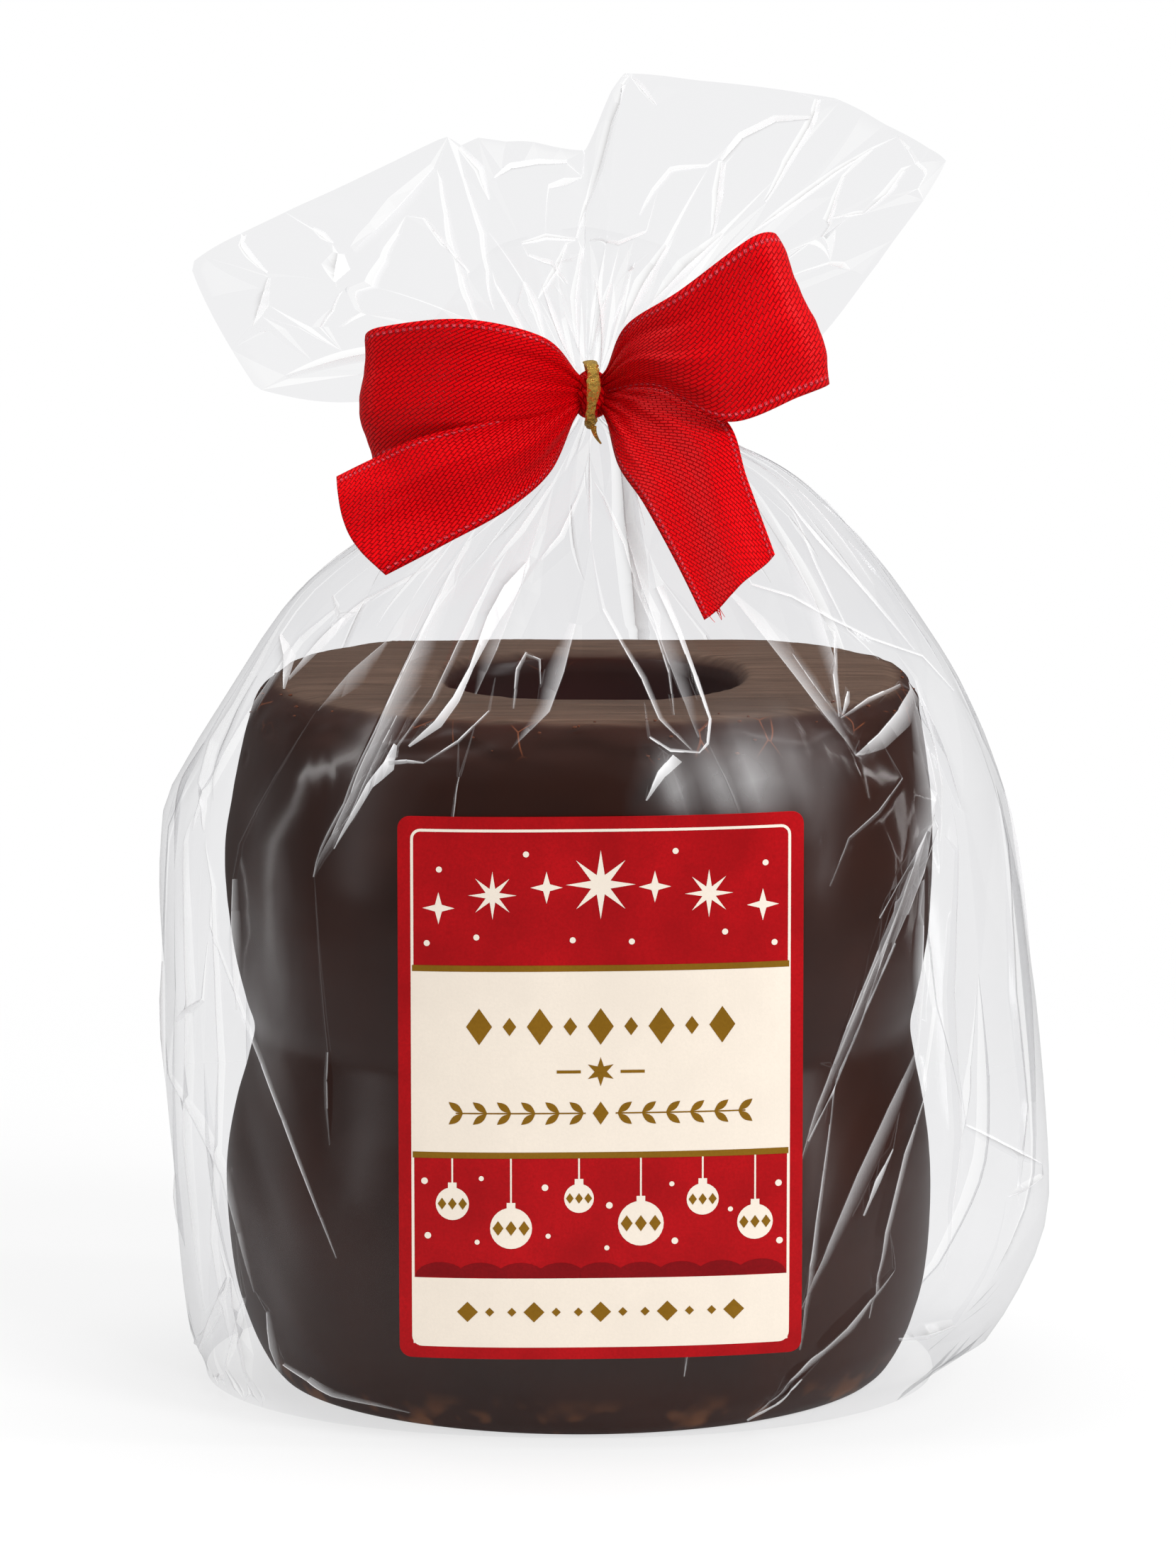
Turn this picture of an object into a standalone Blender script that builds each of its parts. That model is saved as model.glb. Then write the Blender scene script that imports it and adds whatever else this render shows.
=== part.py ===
"""Chocolate ring cake in a gathered clear film bag, with a label, a satin bow and a gold wire tie.

Metres, +Z up, seen from -Y. The origin is on the cake's axis, where the bag stands on the table.
The film is sealed round the cake, so the bag is one solid from its flat base to its ruffled mouth.
"""

import math
from collections import namedtuple

import bmesh
import bpy
from mathutils import Vector

MM = 0.001

# Bag. Half widths to the left and right, half depths to the front and back, in millimetres.
# Fullness is the exponent of the superellipse: 2 is an ellipse, and more is squarer.
Section = namedtuple("Section", "height left right front back fullness")
BAG_SECTIONS = (
    Section(0, 64.0, 61.0, 54.0, 54.0, 2.2),
    Section(9, 67.0, 71.5, 61.0, 60.0, 2.4),
    Section(32, 69.5, 80.0, 61.8, 62.0, 2.6),
    Section(62, 70.8, 78.0, 61.8, 62.0, 2.6),
    Section(95, 69.5, 73.5, 61.8, 61.5, 2.6),
    Section(107, 64.5, 70.0, 61.6, 59.5, 2.5),
    Section(118, 58.5, 65.0, 56.0, 53.0, 2.3),
    Section(133, 49.0, 54.5, 39.5, 39.0, 2.15),
    Section(145, 34.0, 44.0, 25.0, 26.0, 2.0),
    Section(154, 20.0, 33.5, 14.0, 16.0, 2.0),
    Section(160, 9.0, 20.0, 7.0, 8.0, 2.0),
    Section(163.5, 4.3, 4.6, 4.2, 4.3, 2.0),
    Section(165.5, 3.8, 3.8, 3.8, 3.8, 2.0),
    Section(169, 3.8, 3.8, 3.8, 3.8, 2.0),
)
AROUND = 72
LOW_STEPS = (4, 9, 18, 32, 50, 72, 95)
SHOULDER_STEPS = (103, 110, 117, 124, 131, 138, 144, 150, 155, 159.5, 163.5, 165.5, 168.6)
PLEATS = 12
SHOULDER_PLEAT = 0.11
PLEAT_START, PLEAT_FULL, PLEAT_END = 108 * MM, 142 * MM, 164 * MM

# Neck, where the wire gathers the film
NECK_X = 2.3 * MM
NECK_TOP = 168.6 * MM

# Ruffled mouth above the neck: the points its cut edge runs through, in millimetres,
# round the back panel from the right tip to the left tip, then round the front panel.
MOUTH_EDGE = (
    (62.1, 4, 205.8),
    (53.5, 12, 211.3),
    (44.1, 20, 215.9),
    (22.5, 28, 218.6),
    (7.5, 23, 220.4),
    (1.5, 30, 206.6),
    (-10, 32, 208.5),
    (-23.3, 28, 208.7),
    (-47.9, 18, 197.8),
    (-65.3, 4, 188.0),
    (-54.1, -2, 168.1),
    (-36, -2.5, 166.0),
    (-14, -2.5, 192.0),
    (1, -5, 195.5),
    (15, -3, 192.0),
    (37.5, -2, 173.9),
    (50.6, -1, 189.3),
)
MOUTH_START = 3.3 * MM
THROAT_RADIUS = 1.6 * MM
THROAT_RISE = 1.5 * MM
RUFFLE_ROWS = 5
RUFFLE_WALL = 1.1 * MM
RUFFLE_DEPTH = 2.4 * MM
RUFFLE_SWELL = 0.10

# Label, stiff paper on the film's front
LABEL_X = 3.75 * MM
LABEL_Z = 59.7 * MM
LABEL_WIDTH = 65.4 * MM
LABEL_HEIGHT = 89.0 * MM
LABEL_CORNER = 2.0 * MM
LABEL_ROWS = 6
LABEL_TILT = 0.009
LABEL_THICKNESS = 0.4 * MM
LABEL_GAP = 0.45 * MM

# Bow, one ribbon 25 mm wide, folded to two loops and two tails. Each edge runs out from the knot.
RIBBON_THICKNESS = 0.8 * MM
KNOT_CENTRE = (2.3, -9.8, 167.7)
KNOT_SIZE = (6.6, 5.4, 7.4)
LOOP_BACK_KNOT = -8.6
LOOP_BACK_DEPTH = -9.6
BACK_RISE = 2.0
LEFT_LOOP_TOP = (
    (2.6, -9.8, 169.2),
    (-0.2, -11.6, 171.6),
    (-5.8, -18, 177.9),
    (-18.8, -24, 181.3),
    (-32.5, -21, 179.8),
    (-35.1, -17, 177.8),
)
LEFT_LOOP_BOTTOM = (
    (2.6, -9.8, 166.2),
    (-0.2, -11.6, 166.4),
    (-8.1, -19, 163.9),
    (-18.8, -25, 162.2),
    (-30.5, -23, 160.0),
    (-34, -18, 157.7),
)
RIGHT_LOOP_TOP = (
    (2, -9.8, 169.2),
    (4.8, -11.6, 172.2),
    (8.1, -17, 179.8),
    (16.9, -22, 185.9),
    (28.5, -23, 194.6),
    (32.7, -17, 194.8),
)
RIGHT_LOOP_BOTTOM = (
    (2, -9.8, 166.4),
    (4.8, -11.6, 168.2),
    (13.5, -20, 169.6),
    (24.7, -27, 164.6),
    (36.5, -23, 168.4),
    (41.6, -18, 170.2),
)
LEFT_TAIL_TOP = (
    (2.6, -9.6, 167.4),
    (-0.6, -10.6, 167.2),
    (-12, -18, 164.5),
    (-26, -22.8, 161.6),
    (-33.8, -24.5, 158.2),
    (-39.7, -28, 155.6),
)
LEFT_TAIL_BOTTOM = (
    (2.6, -9.8, 166.2),
    (-0.2, -11.2, 164.6),
    (-4.5, -16, 155.5),
    (-11.7, -22, 149.6),
    (-21.7, -27, 144.5),
    (-31.6, -31, 139.7),
)
RIGHT_TAIL_LEFT = (
    (2.0, -9.8, 166.2),
    (4.6, -11.4, 164.4),
    (6.8, -19, 156.8),
    (11, -27, 151),
    (16.2, -35, 142.1),
    (20.6, -42, 133.6),
)
RIGHT_TAIL_RIGHT = (
    (2.0, -9.6, 167.4),
    (5.2, -10.8, 167.4),
    (16, -17, 167),
    (25.2, -23, 163),
    (27.9, -30, 155.2),
    (32.2, -38, 143.9),
)
LOOP_CROWN = 1.2 * MM
TAIL_CROWN = 1.2 * MM
LEFT_END_BULGE = 2.6 * MM
RIGHT_END_BULGE = 0.8 * MM
STRIP_STEPS = 4
LOOP_STEPS = 26
TAIL_STEPS = 12

# Gold wire tie: a ring round the neck, one round the knot, the twist behind and a cut end below
TIE_WIRE = 0.7 * MM
TIE_Z = 166.6 * MM
KNOT_Z = 167.7 * MM
NECK_RING_RADIUS = 5.1 * MM
KNOT_RING_CENTRE_Y = -9.6 * MM
KNOT_RING_DEPTH = 4.3 * MM
KNOT_RING_HEIGHT = 5.2 * MM
KNOT_RING_WIDTH = 1.4
TWIST_LENGTH = 11 * MM
TWIST_RADIUS = 0.75 * MM
TWIST_TURNS = 3
TWIST_DROOP = 2 * MM
CUT_END = 2.4 * MM


def clear_scene():
    for obj in list(bpy.data.objects):
        bpy.data.objects.remove(obj, do_unlink=True)


def new_collection(name):
    collection = bpy.data.collections.new(name)
    bpy.context.scene.collection.children.link(collection)
    return collection


def make_material(name, colour, roughness, metallic=0.0):
    material = bpy.data.materials.new(name)
    material.use_nodes = True
    shader = material.node_tree.nodes["Principled BSDF"]
    shader.inputs["Base Color"].default_value = (*colour, 1.0)
    shader.inputs["Roughness"].default_value = roughness
    shader.inputs["Metallic"].default_value = metallic
    return material


def add_object(name, mesh, collection, material=None):
    obj = bpy.data.objects.new(name, mesh)
    collection.objects.link(obj)
    if material:
        mesh.materials.clear()
        mesh.materials.append(material)
    return obj


def smooth(mesh, angle=math.radians(35)):
    mesh.shade_smooth()
    mesh.set_sharp_from_angle(angle=angle)


def ease(low, high, value):
    """0 below low, 1 above high, and a smooth rise between them."""
    t = min(1.0, max(0.0, (value - low) / (high - low)))
    return t * t * (3 - 2 * t)


def through(points, share, closed=False):
    """A point on the smooth curve through all the points, at a share of its way from 0 to 1."""
    count = len(points)
    spans = count if closed else count - 1
    place = share * spans
    index = min(int(place), spans - 1)
    t = place - index

    def pick(k):
        return Vector(points[k % count] if closed else points[min(max(k, 0), count - 1)])

    a, b, c, d = (pick(index + k) for k in (-1, 0, 1, 2))
    return 0.5 * (2 * b + (c - a) * t + (2 * a - 5 * b + 4 * c - d) * t * t + (3 * b - a - 3 * c + d) * t**3)


def section_at(height):
    """The bag's section at a height in metres: left, right, front and back in metres, then the fullness."""
    z = height / MM
    rows = BAG_SECTIONS
    upper = next((k for k in range(1, len(rows)) if rows[k].height >= z), len(rows) - 1)
    low, high = rows[upper - 1], rows[upper]
    before, after = rows[max(upper - 2, 0)], rows[min(upper + 1, len(rows) - 1)]
    step = high.height - low.height
    t = min(1.0, max(0.0, (z - low.height) / step))
    values = []
    for k in range(1, 6):
        slope_low = bounded_slope(before, low, high, k)
        slope_high = bounded_slope(low, high, after, k)
        value = (
            (1 + 2 * t) * (1 - t) ** 2 * low[k]
            + t * (1 - t) ** 2 * step * slope_low
            + t * t * (3 - 2 * t) * high[k]
            + t * t * (t - 1) * step * slope_high
        )
        values.append(value)
    left, right, front, back = (value * MM for value in values[:4])
    return left, right, front, back, values[4]


def bounded_slope(a, b, c, k):
    """The slope at section b that never makes the curve overshoot its sections."""
    if a.height == b.height or b.height == c.height:
        return 0.0
    before = (b[k] - a[k]) / (b.height - a.height)
    after = (c[k] - b[k]) / (c.height - b.height)
    return 0.0 if before * after <= 0 else 2 * before * after / (before + after)


def bag_point(angle, height):
    """A point on the smooth bag, before its pleats."""
    left, right, front, back, fullness = section_at(height)
    cos, sin = math.cos(angle), math.sin(angle)
    power = 2 / fullness
    x = math.copysign(abs(cos) ** power, cos) * (right if cos > 0 else left)
    y = math.copysign(abs(sin) ** power, sin) * (back if sin > 0 else front)
    return Vector((x, y, height))


def bag_front(x, height):
    """How far forward the film stands at a place on the label, as a y value."""
    left, right, front, _, fullness = section_at(height)
    side = right if x > 0 else left
    return -front * (1 - abs(x / side) ** fullness) ** (1 / fullness)


def pouch_ring(height):
    """One ring of the bag below the neck: it drifts to the neck and folds into pleats as it narrows."""
    drift = NECK_X * ease(PLEAT_START, PLEAT_END, height)
    depth = SHOULDER_PLEAT * ease(PLEAT_START, PLEAT_FULL, height) * (1 - ease(PLEAT_FULL, PLEAT_END, height))
    ring = []
    for k in range(AROUND):
        angle = 2 * math.pi * k / AROUND
        point = bag_point(angle, height)
        fold = 1 + depth * math.cos(PLEATS * angle)
        ring.append(Vector((point.x * fold + drift, point.y * fold, height)))
    return ring


def loft(name, rings):
    """A closed surface through rings of equally many points, with flat ends."""
    bm = bmesh.new()
    rows = [[bm.verts.new(point) for point in ring] for ring in rings]
    for lower, upper in zip(rows, rows[1:]):
        for k in range(len(lower)):
            after = (k + 1) % len(lower)
            bm.faces.new((lower[k], lower[after], upper[after], upper[k]))
    bm.faces.new(reversed(rows[0]))
    bm.faces.new(rows[-1])
    mesh = bpy.data.meshes.new(name)
    bm.to_mesh(mesh)
    bm.free()
    return mesh


def mouth_point(share, out):
    """A point in the middle of the ruffle's wall, by its share of the way round and of the way out."""
    turn = 2 * math.pi * share
    edge = through(MOUTH_EDGE, share % 1, closed=True) * MM
    ahead = through(MOUTH_EDGE, (share + 0.004) % 1, closed=True) * MM
    start = Vector((NECK_X, 0, NECK_TOP)) + MOUTH_START * Vector((math.cos(turn), math.sin(turn), 0))
    reach = edge - start
    across = reach.cross(ahead - edge).normalized()
    swell = RUFFLE_SWELL * reach.length * math.sin(math.pi * out) * (1 - reach.normalized().z)
    fold = RUFFLE_DEPTH * out * math.cos(PLEATS * turn)
    return start + reach * out + Vector((0, 0, swell)) + across * fold


def mouth_rings():
    """Rings up the outside of the ruffle, over its cut edge and down the inside to the neck."""
    outside, inside = [], []
    for row in range(1, RUFFLE_ROWS + 1):
        out = row / RUFFLE_ROWS
        outer, inner = [], []
        for k in range(AROUND):
            share = k / AROUND
            point = mouth_point(share, out)
            along = mouth_point(share + 0.004, out) - mouth_point(share - 0.004, out)
            up = mouth_point(share, out) - mouth_point(share, out - 0.02)
            wall = along.cross(up).normalized() * RUFFLE_WALL / 2
            outer.append(point + wall)
            inner.append(point - wall)
        outside.append(outer)
        inside.append(inner)
    throat = []
    for k in range(AROUND):
        turn = 2 * math.pi * k / AROUND
        around = Vector((math.cos(turn), math.sin(turn), 0))
        throat.append(Vector((NECK_X, 0, NECK_TOP + THROAT_RISE)) + THROAT_RADIUS * around)
    return outside + inside[::-1] + [throat]


def solidify(obj, thickness, offset=0.0):
    modifier = obj.modifiers.new("wall", "SOLIDIFY")
    modifier.thickness = thickness
    modifier.offset = offset
    modifier.use_even_offset = False
    return modifier


def join_into(obj, others, tools):
    """Joins the other objects to obj by one Boolean union on a collection, applied, then removes them."""
    group = bpy.data.collections.new(obj.name + "_joined")
    tools.children.link(group)
    for other in others:
        for collection in list(other.users_collection):
            collection.objects.unlink(other)
        group.objects.link(other)
    modifier = obj.modifiers.new("join", "BOOLEAN")
    modifier.operation = "UNION"
    modifier.operand_type = "COLLECTION"
    modifier.collection = group
    modifier.solver = "EXACT"
    bpy.context.view_layer.update()
    evaluated = obj.evaluated_get(bpy.context.evaluated_depsgraph_get())
    joined = bpy.data.meshes.new_from_object(evaluated)
    obj.modifiers.clear()
    obj.data = joined
    for other in others:
        bpy.data.objects.remove(other, do_unlink=True)
    bpy.data.collections.remove(group)


def build_bag(parts, film):
    """The film bag: a pouch lofted up to the tied neck, and the ruffle that opens above it."""
    rings = [pouch_ring(0)] + [pouch_ring(height * MM) for height in LOW_STEPS + SHOULDER_STEPS] + mouth_rings()
    bag = add_object("bag", loft("bag", rings), parts, film)
    smooth(bag.data)
    return bag


def label_columns():
    """Places across the label, close together in the rounded corners."""
    half, corner, turns = LABEL_WIDTH / 2, LABEL_CORNER, 4
    left = [-half + corner * (1 - math.cos(math.pi / 2 * k / turns)) for k in range(turns + 1)]
    middle = [(-half + corner) + (LABEL_WIDTH - 2 * corner) * k / 10 for k in range(1, 10)]
    return left + middle + [-x for x in reversed(left)]


def build_label(parts, paper):
    """A rounded rectangle of paper that follows the film's front at a small gap."""
    bm = bmesh.new()
    grid = []
    for x in label_columns():
        past = max(0.0, abs(x) - (LABEL_WIDTH / 2 - LABEL_CORNER))
        drop = LABEL_CORNER - math.sqrt(max(0.0, LABEL_CORNER**2 - past**2))
        tall = LABEL_HEIGHT / 2 - drop
        column = []
        for row in range(LABEL_ROWS + 1):
            z = LABEL_Z + tall * (2 * row / LABEL_ROWS - 1) + LABEL_TILT * x
            y = bag_front(LABEL_X + x, z) - LABEL_GAP
            column.append(bm.verts.new((LABEL_X + x, y, z)))
        grid.append(column)
    for one, two in zip(grid, grid[1:]):
        for k in range(LABEL_ROWS):
            bm.faces.new((one[k], two[k], two[k + 1], one[k + 1]))
    mesh = bpy.data.meshes.new("label")
    bm.to_mesh(mesh)
    bm.free()
    label = add_object("label", mesh, parts, paper)
    solidify(label, LABEL_THICKNESS, offset=1.0)
    return label


def ribbon(name, one_edge, other_edge, steps, crown, bulge, looped, tools):
    """A strip of ribbon between two edges that run the same way: crowned across, and bulging at its cut end."""
    bm = bmesh.new()
    grid = []
    for k in range(steps + 1):
        share = k / steps
        one, other = through(one_edge, share) * MM, through(other_edge, share) * MM
        ahead = through(one_edge, min(1, share + 0.01)) * MM - through(one_edge, max(0, share - 0.01)) * MM
        from_knot = min(share, 1 - share) if looped else share
        out = ahead.cross(other - one).normalized() * crown * ease(0, 0.3, from_knot)
        push = ahead.normalized() * bulge * share**6
        row = []
        for j in range(STRIP_STEPS + 1):
            across = j / STRIP_STEPS
            arch = 4 * across * (1 - across)
            row.append(bm.verts.new(one.lerp(other, across) + (out + push) * arch))
        grid.append(row)
    for one, two in zip(grid, grid[1:]):
        for j in range(STRIP_STEPS):
            bm.faces.new((one[j], one[j + 1], two[j + 1], two[j]))
    mesh = bpy.data.meshes.new(name)
    bm.to_mesh(mesh)
    bm.free()
    strip = add_object(name, mesh, tools)
    solidify(strip, RIBBON_THICKNESS)
    return strip


def loop(name, one_edge, other_edge, tools):
    return ribbon(name, one_edge, other_edge, LOOP_STEPS, LOOP_CROWN, 0, True, tools)


def tail(name, one_edge, other_edge, bulge, tools):
    return ribbon(name, one_edge, other_edge, TAIL_STEPS, TAIL_CROWN, bulge, False, tools)


def there_and_back(edge, rise):
    """A loop's edge: out along the front, round the fold at its end and back behind to the knot."""
    back = []
    for k, (x, _, z) in enumerate(reversed(edge[:-1])):
        share = (k + 1) / (len(edge) - 1)
        depth = LOOP_BACK_DEPTH + (LOOP_BACK_KNOT - LOOP_BACK_DEPTH) * share
        back.append((x, depth, z + rise * math.sin(math.pi * share)))
    return edge + tuple(back)


def build_bow(parts, tools, satin):
    """The bow: two loops and two tails that meet in the gathered knot."""
    bpy.ops.mesh.primitive_uv_sphere_add(segments=20, ring_count=12, radius=0.5)
    knot = bpy.context.object
    for vertex in knot.data.vertices:
        for axis in range(3):
            vertex.co[axis] = (KNOT_CENTRE[axis] + vertex.co[axis] * KNOT_SIZE[axis]) * MM
    for collection in list(knot.users_collection):
        collection.objects.unlink(knot)
    parts.objects.link(knot)
    knot.name = "bow"
    left_top = there_and_back(LEFT_LOOP_TOP, -BACK_RISE)
    left_bottom = there_and_back(LEFT_LOOP_BOTTOM, BACK_RISE)
    right_top = there_and_back(RIGHT_LOOP_TOP, -BACK_RISE)
    right_bottom = there_and_back(RIGHT_LOOP_BOTTOM, BACK_RISE)
    strips = [
        loop("left_loop", left_top, left_bottom, tools),
        loop("right_loop", right_bottom, right_top, tools),
        tail("left_tail", LEFT_TAIL_TOP, LEFT_TAIL_BOTTOM, LEFT_END_BULGE, tools),
        tail("right_tail", RIGHT_TAIL_LEFT, RIGHT_TAIL_RIGHT, RIGHT_END_BULGE, tools),
    ]
    join_into(knot, strips, tools)
    knot.data.materials.clear()
    knot.data.materials.append(satin)
    smooth(knot.data)
    return knot


def wire_along(name, points, radius, tools):
    """A round wire along points, as a closed mesh."""
    curve = bpy.data.curves.new(name, "CURVE")
    curve.dimensions = "3D"
    curve.bevel_depth = radius
    curve.bevel_resolution = 1
    curve.use_fill_caps = True
    spline = curve.splines.new("POLY")
    spline.points.add(len(points) - 1)
    for place, point in zip(spline.points, points):
        place.co = (*point, 1.0)
    obj = bpy.data.objects.new(name, curve)
    tools.objects.link(obj)
    bpy.context.view_layer.update()
    evaluated = obj.evaluated_get(bpy.context.evaluated_depsgraph_get())
    mesh = bpy.data.meshes.new_from_object(evaluated)
    bm = bmesh.new()
    bm.from_mesh(mesh)
    bmesh.ops.remove_doubles(bm, verts=bm.verts, dist=0.00001)
    bm.to_mesh(mesh)
    bm.free()
    bpy.data.objects.remove(obj, do_unlink=True)
    return add_object(name, mesh, tools)


def ring_of_wire(name, centre, radii, turned, width, collection):
    """A closed wire ring: an oval of two radii, lying flat or stood up facing sideways."""
    bpy.ops.mesh.primitive_torus_add(major_radius=1, minor_radius=0.1, major_segments=28, minor_segments=6)
    ring = bpy.context.object
    ring.name = name
    for vertex in ring.data.vertices:
        x, y, z = vertex.co
        around = Vector((math.cos(math.atan2(y, x)), math.sin(math.atan2(y, x)), 0))
        wire = (Vector((x, y, z * width)) - around) * 10 * TIE_WIRE
        flat = Vector((radii[0] * around.x, radii[1] * around.y, 0)) + wire
        vertex.co = centre + (Vector((flat.z, flat.x, flat.y)) if turned else flat)
    for other in list(ring.users_collection):
        other.objects.unlink(ring)
    collection.objects.link(ring)
    return ring


def build_tie(parts, tools, gold):
    """The gold wire: round the neck, round the knot, twisted behind, with a short cut end in front."""
    neck_radii = (NECK_RING_RADIUS, NECK_RING_RADIUS)
    tie = ring_of_wire("gold_tie", Vector((NECK_X, 0, TIE_Z)), neck_radii, False, 1.0, parts)
    knot_centre = Vector((NECK_X, KNOT_RING_CENTRE_Y, KNOT_Z))
    knot_radii = (KNOT_RING_DEPTH, KNOT_RING_HEIGHT)
    pieces = [ring_of_wire("knot_ring", knot_centre, knot_radii, True, KNOT_RING_WIDTH, tools)]
    for start in (0, math.pi):
        points = []
        for k in range(25):
            share = k / 24
            turn = start + 2 * math.pi * TWIST_TURNS * share
            back = NECK_RING_RADIUS - 0.2 * MM + TWIST_LENGTH * share
            droop = TWIST_DROOP * share**2
            round_it = Vector((math.cos(turn), 0, math.sin(turn))) * TWIST_RADIUS
            points.append(Vector((NECK_X, back, TIE_Z - droop)) + round_it)
        pieces.append(wire_along(f"twist_{len(pieces)}", points, TIE_WIRE * 0.75, tools))
    end_top = Vector((NECK_X + 0.3 * MM, KNOT_RING_CENTRE_Y, KNOT_Z - KNOT_RING_HEIGHT))
    end_points = [end_top + CUT_END * Vector((t * t / 2, -t / 2, -t)) for t in (0, 0.35, 0.7, 1)]
    pieces.append(wire_along("cut_end", end_points, TIE_WIRE * 0.6, tools))
    join_into(tie, pieces, tools)
    tie.data.materials.clear()
    tie.data.materials.append(gold)
    smooth(tie.data)
    return tie


def main():
    clear_scene()
    parts = new_collection("packed_ring_cake")
    tools = new_collection("tools")
    tools.hide_render = True
    build_bag(parts, make_material("clear_film", (0.30, 0.24, 0.22), 0.12))
    build_label(parts, make_material("label_paper", (0.62, 0.02, 0.03), 0.45))
    build_bow(parts, tools, make_material("red_satin", (0.60, 0.01, 0.02), 0.35))
    build_tie(parts, tools, make_material("gold_foil", (0.83, 0.60, 0.22), 0.22, metallic=1.0))


main()
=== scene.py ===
"""Looks of a chocolate ring cake in a tied clear film bag, with a paper label, a satin bow and a gold tie.

The frame's axes: +X right, +Y away from the viewer, +Z up. Points in lists and in mesh arrays are in
millimetres until an object is made. The bag's sections and its mouth's edge are the named values that the
solids were made from. So are the ribbon's edges, but for three that were fitted closer to the photograph.
"""

import math
import random as chance
from collections import defaultdict

import bpy
import numpy as np
from bpy.props import FloatProperty, FloatVectorProperty, IntProperty, PointerProperty
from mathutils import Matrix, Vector, noise
from mathutils.geometry import delaunay_2d_cdt


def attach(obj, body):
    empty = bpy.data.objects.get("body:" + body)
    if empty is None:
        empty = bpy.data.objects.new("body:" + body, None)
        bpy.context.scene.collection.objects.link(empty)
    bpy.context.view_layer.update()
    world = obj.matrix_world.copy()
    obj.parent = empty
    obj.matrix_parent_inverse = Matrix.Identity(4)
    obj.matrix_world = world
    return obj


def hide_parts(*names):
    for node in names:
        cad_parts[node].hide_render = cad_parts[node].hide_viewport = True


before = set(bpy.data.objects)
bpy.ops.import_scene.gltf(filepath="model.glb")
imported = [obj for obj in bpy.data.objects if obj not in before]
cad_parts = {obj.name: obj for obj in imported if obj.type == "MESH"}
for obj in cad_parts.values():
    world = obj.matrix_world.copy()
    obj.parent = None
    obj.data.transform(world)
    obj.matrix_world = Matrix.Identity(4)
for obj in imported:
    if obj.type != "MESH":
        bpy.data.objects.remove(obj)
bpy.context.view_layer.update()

bl_info = {
    "name": "Packed ring cake",
    "version": (1, 0, 0),
    "blender": (4, 5, 0),
    "location": "3D View > Sidebar > Ring cake",
    "description": "Makes a chocolate ring cake in a tied clear bag, piece by piece",
    "category": "Object",
}

MM = 0.001

# Camera: the photograph's place, tilt and lens, in millimetres and degrees, and the range it sees, in metres
CAMERA_PLACE = (1.7, -1049.0, 250.6)
CAMERA_TILT = 81.86
CAMERA_LENS = 142.9
CAMERA_SENSOR = 36.0
CAMERA_RANGE = (0.05, 20)

FLOOR_GAP, FLOOR_SIDES = 0.3, 64

# Soft boxes: place, size in millimetres, power in watts, and whether the film mirrors them
LIT_MIDDLE = (0, 0, 110)
SOFT_BOXES = (
    ("key_box", (620, -700, 800), (420, 420), 9.5, False),
    ("top_box", (0, 200, 1150), (900, 500), 8.0, False),
    ("left_strip", (-900, -250, 330), (60, 800), 0.7, True),
    ("right_strip", (900, -150, 330), (60, 800), 1.3, True),
    ("high_left_strip", (-760, -150, 820), (50, 500), 1.0, True),
    ("high_right_strip", (760, -150, 820), (50, 500), 1.0, True),
)

# Bag's sections, as in the solid: height, half size to the left, right, front and back, and fullness
BAG_SECTIONS = (
    (0, 64.0, 61.0, 54.0, 54.0, 2.2),
    (9, 67.0, 71.5, 61.0, 60.0, 2.4),
    (32, 69.5, 80.0, 61.8, 62.0, 2.6),
    (62, 70.8, 78.0, 61.8, 62.0, 2.6),
    (95, 69.5, 73.5, 61.8, 61.5, 2.6),
    (107, 64.5, 70.0, 61.6, 59.5, 2.5),
    (118, 58.5, 65.0, 56.0, 53.0, 2.3),
    (133, 49.0, 54.5, 39.5, 39.0, 2.15),
    (145, 34.0, 44.0, 25.0, 26.0, 2.0),
    (154, 20.0, 33.5, 14.0, 16.0, 2.0),
    (160, 9.0, 20.0, 7.0, 8.0, 2.0),
    (163.5, 4.3, 4.6, 4.2, 4.3, 2.0),
    (165.5, 3.8, 3.8, 3.8, 3.8, 2.0),
    (169, 3.8, 3.8, 3.8, 3.8, 2.0),
)
PLEAT_START, PLEAT_END = 108.0, 164.0
NECK_X = 2.3
NECK_TOP = 168.6
MOUTH_EDGE = (
    (62.1, 4, 205.8), (53.5, 12, 211.3), (44.1, 20, 215.9), (22.5, 28, 218.6), (7.5, 23, 220.4),
    (1.5, 30, 206.6), (-10, 32, 208.5), (-23.3, 28, 208.7), (-47.9, 18, 197.8), (-65.3, 4, 188.0),
    (-54.1, -2, 168.1), (-36, -2.5, 166.0), (-14, -2.5, 192.0), (1, -5, 195.5), (15, -3, 192.0),
    (37.5, -2, 173.9), (50.6, -1, 189.3),
)
MOUTH_START = 3.3
RUFFLE_SWELL = 0.10
EDGE_STRAIGHT = 0.7

# Film, unrolled: its widths and reach in millimetres, and how its facets, creases and folds are made
GIRTH = 430.0
MOUTH_GIRTH = 400.0
MOUTH_REACH = 62.0
MOUTH_BACK_END = MOUTH_GIRTH * 9.4 / len(MOUTH_EDGE)
FACET_SPLIT = 5
SHARP_TURN = 0.50
LENGTHWAYS = 0.5
LOOSE_CREASE = 0.08
# How strongly a facet's lean paints its film lighter or greyer: painted light and shade
LEAN_PAINTED_TONE = 3.2
LIT, DARK = 0, 1
FLANK_SHARE, FOLD_RISE = 0.8, 0.42
FILM_CLEARANCE = 0.6
NECK_PLEATS, LONG_PLEATS, BACK_FOLDS, FOOT_POINTS = 46, 34, 26, 60
RUFFLE_PLEATS, RUFFLE_CREASES, RIM_POINTS = 30, 40, 44
MOST_TRIES = {"neck": 500, "wall": 900, "ruffle_foot": 400, "ruffle": 500}
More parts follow.
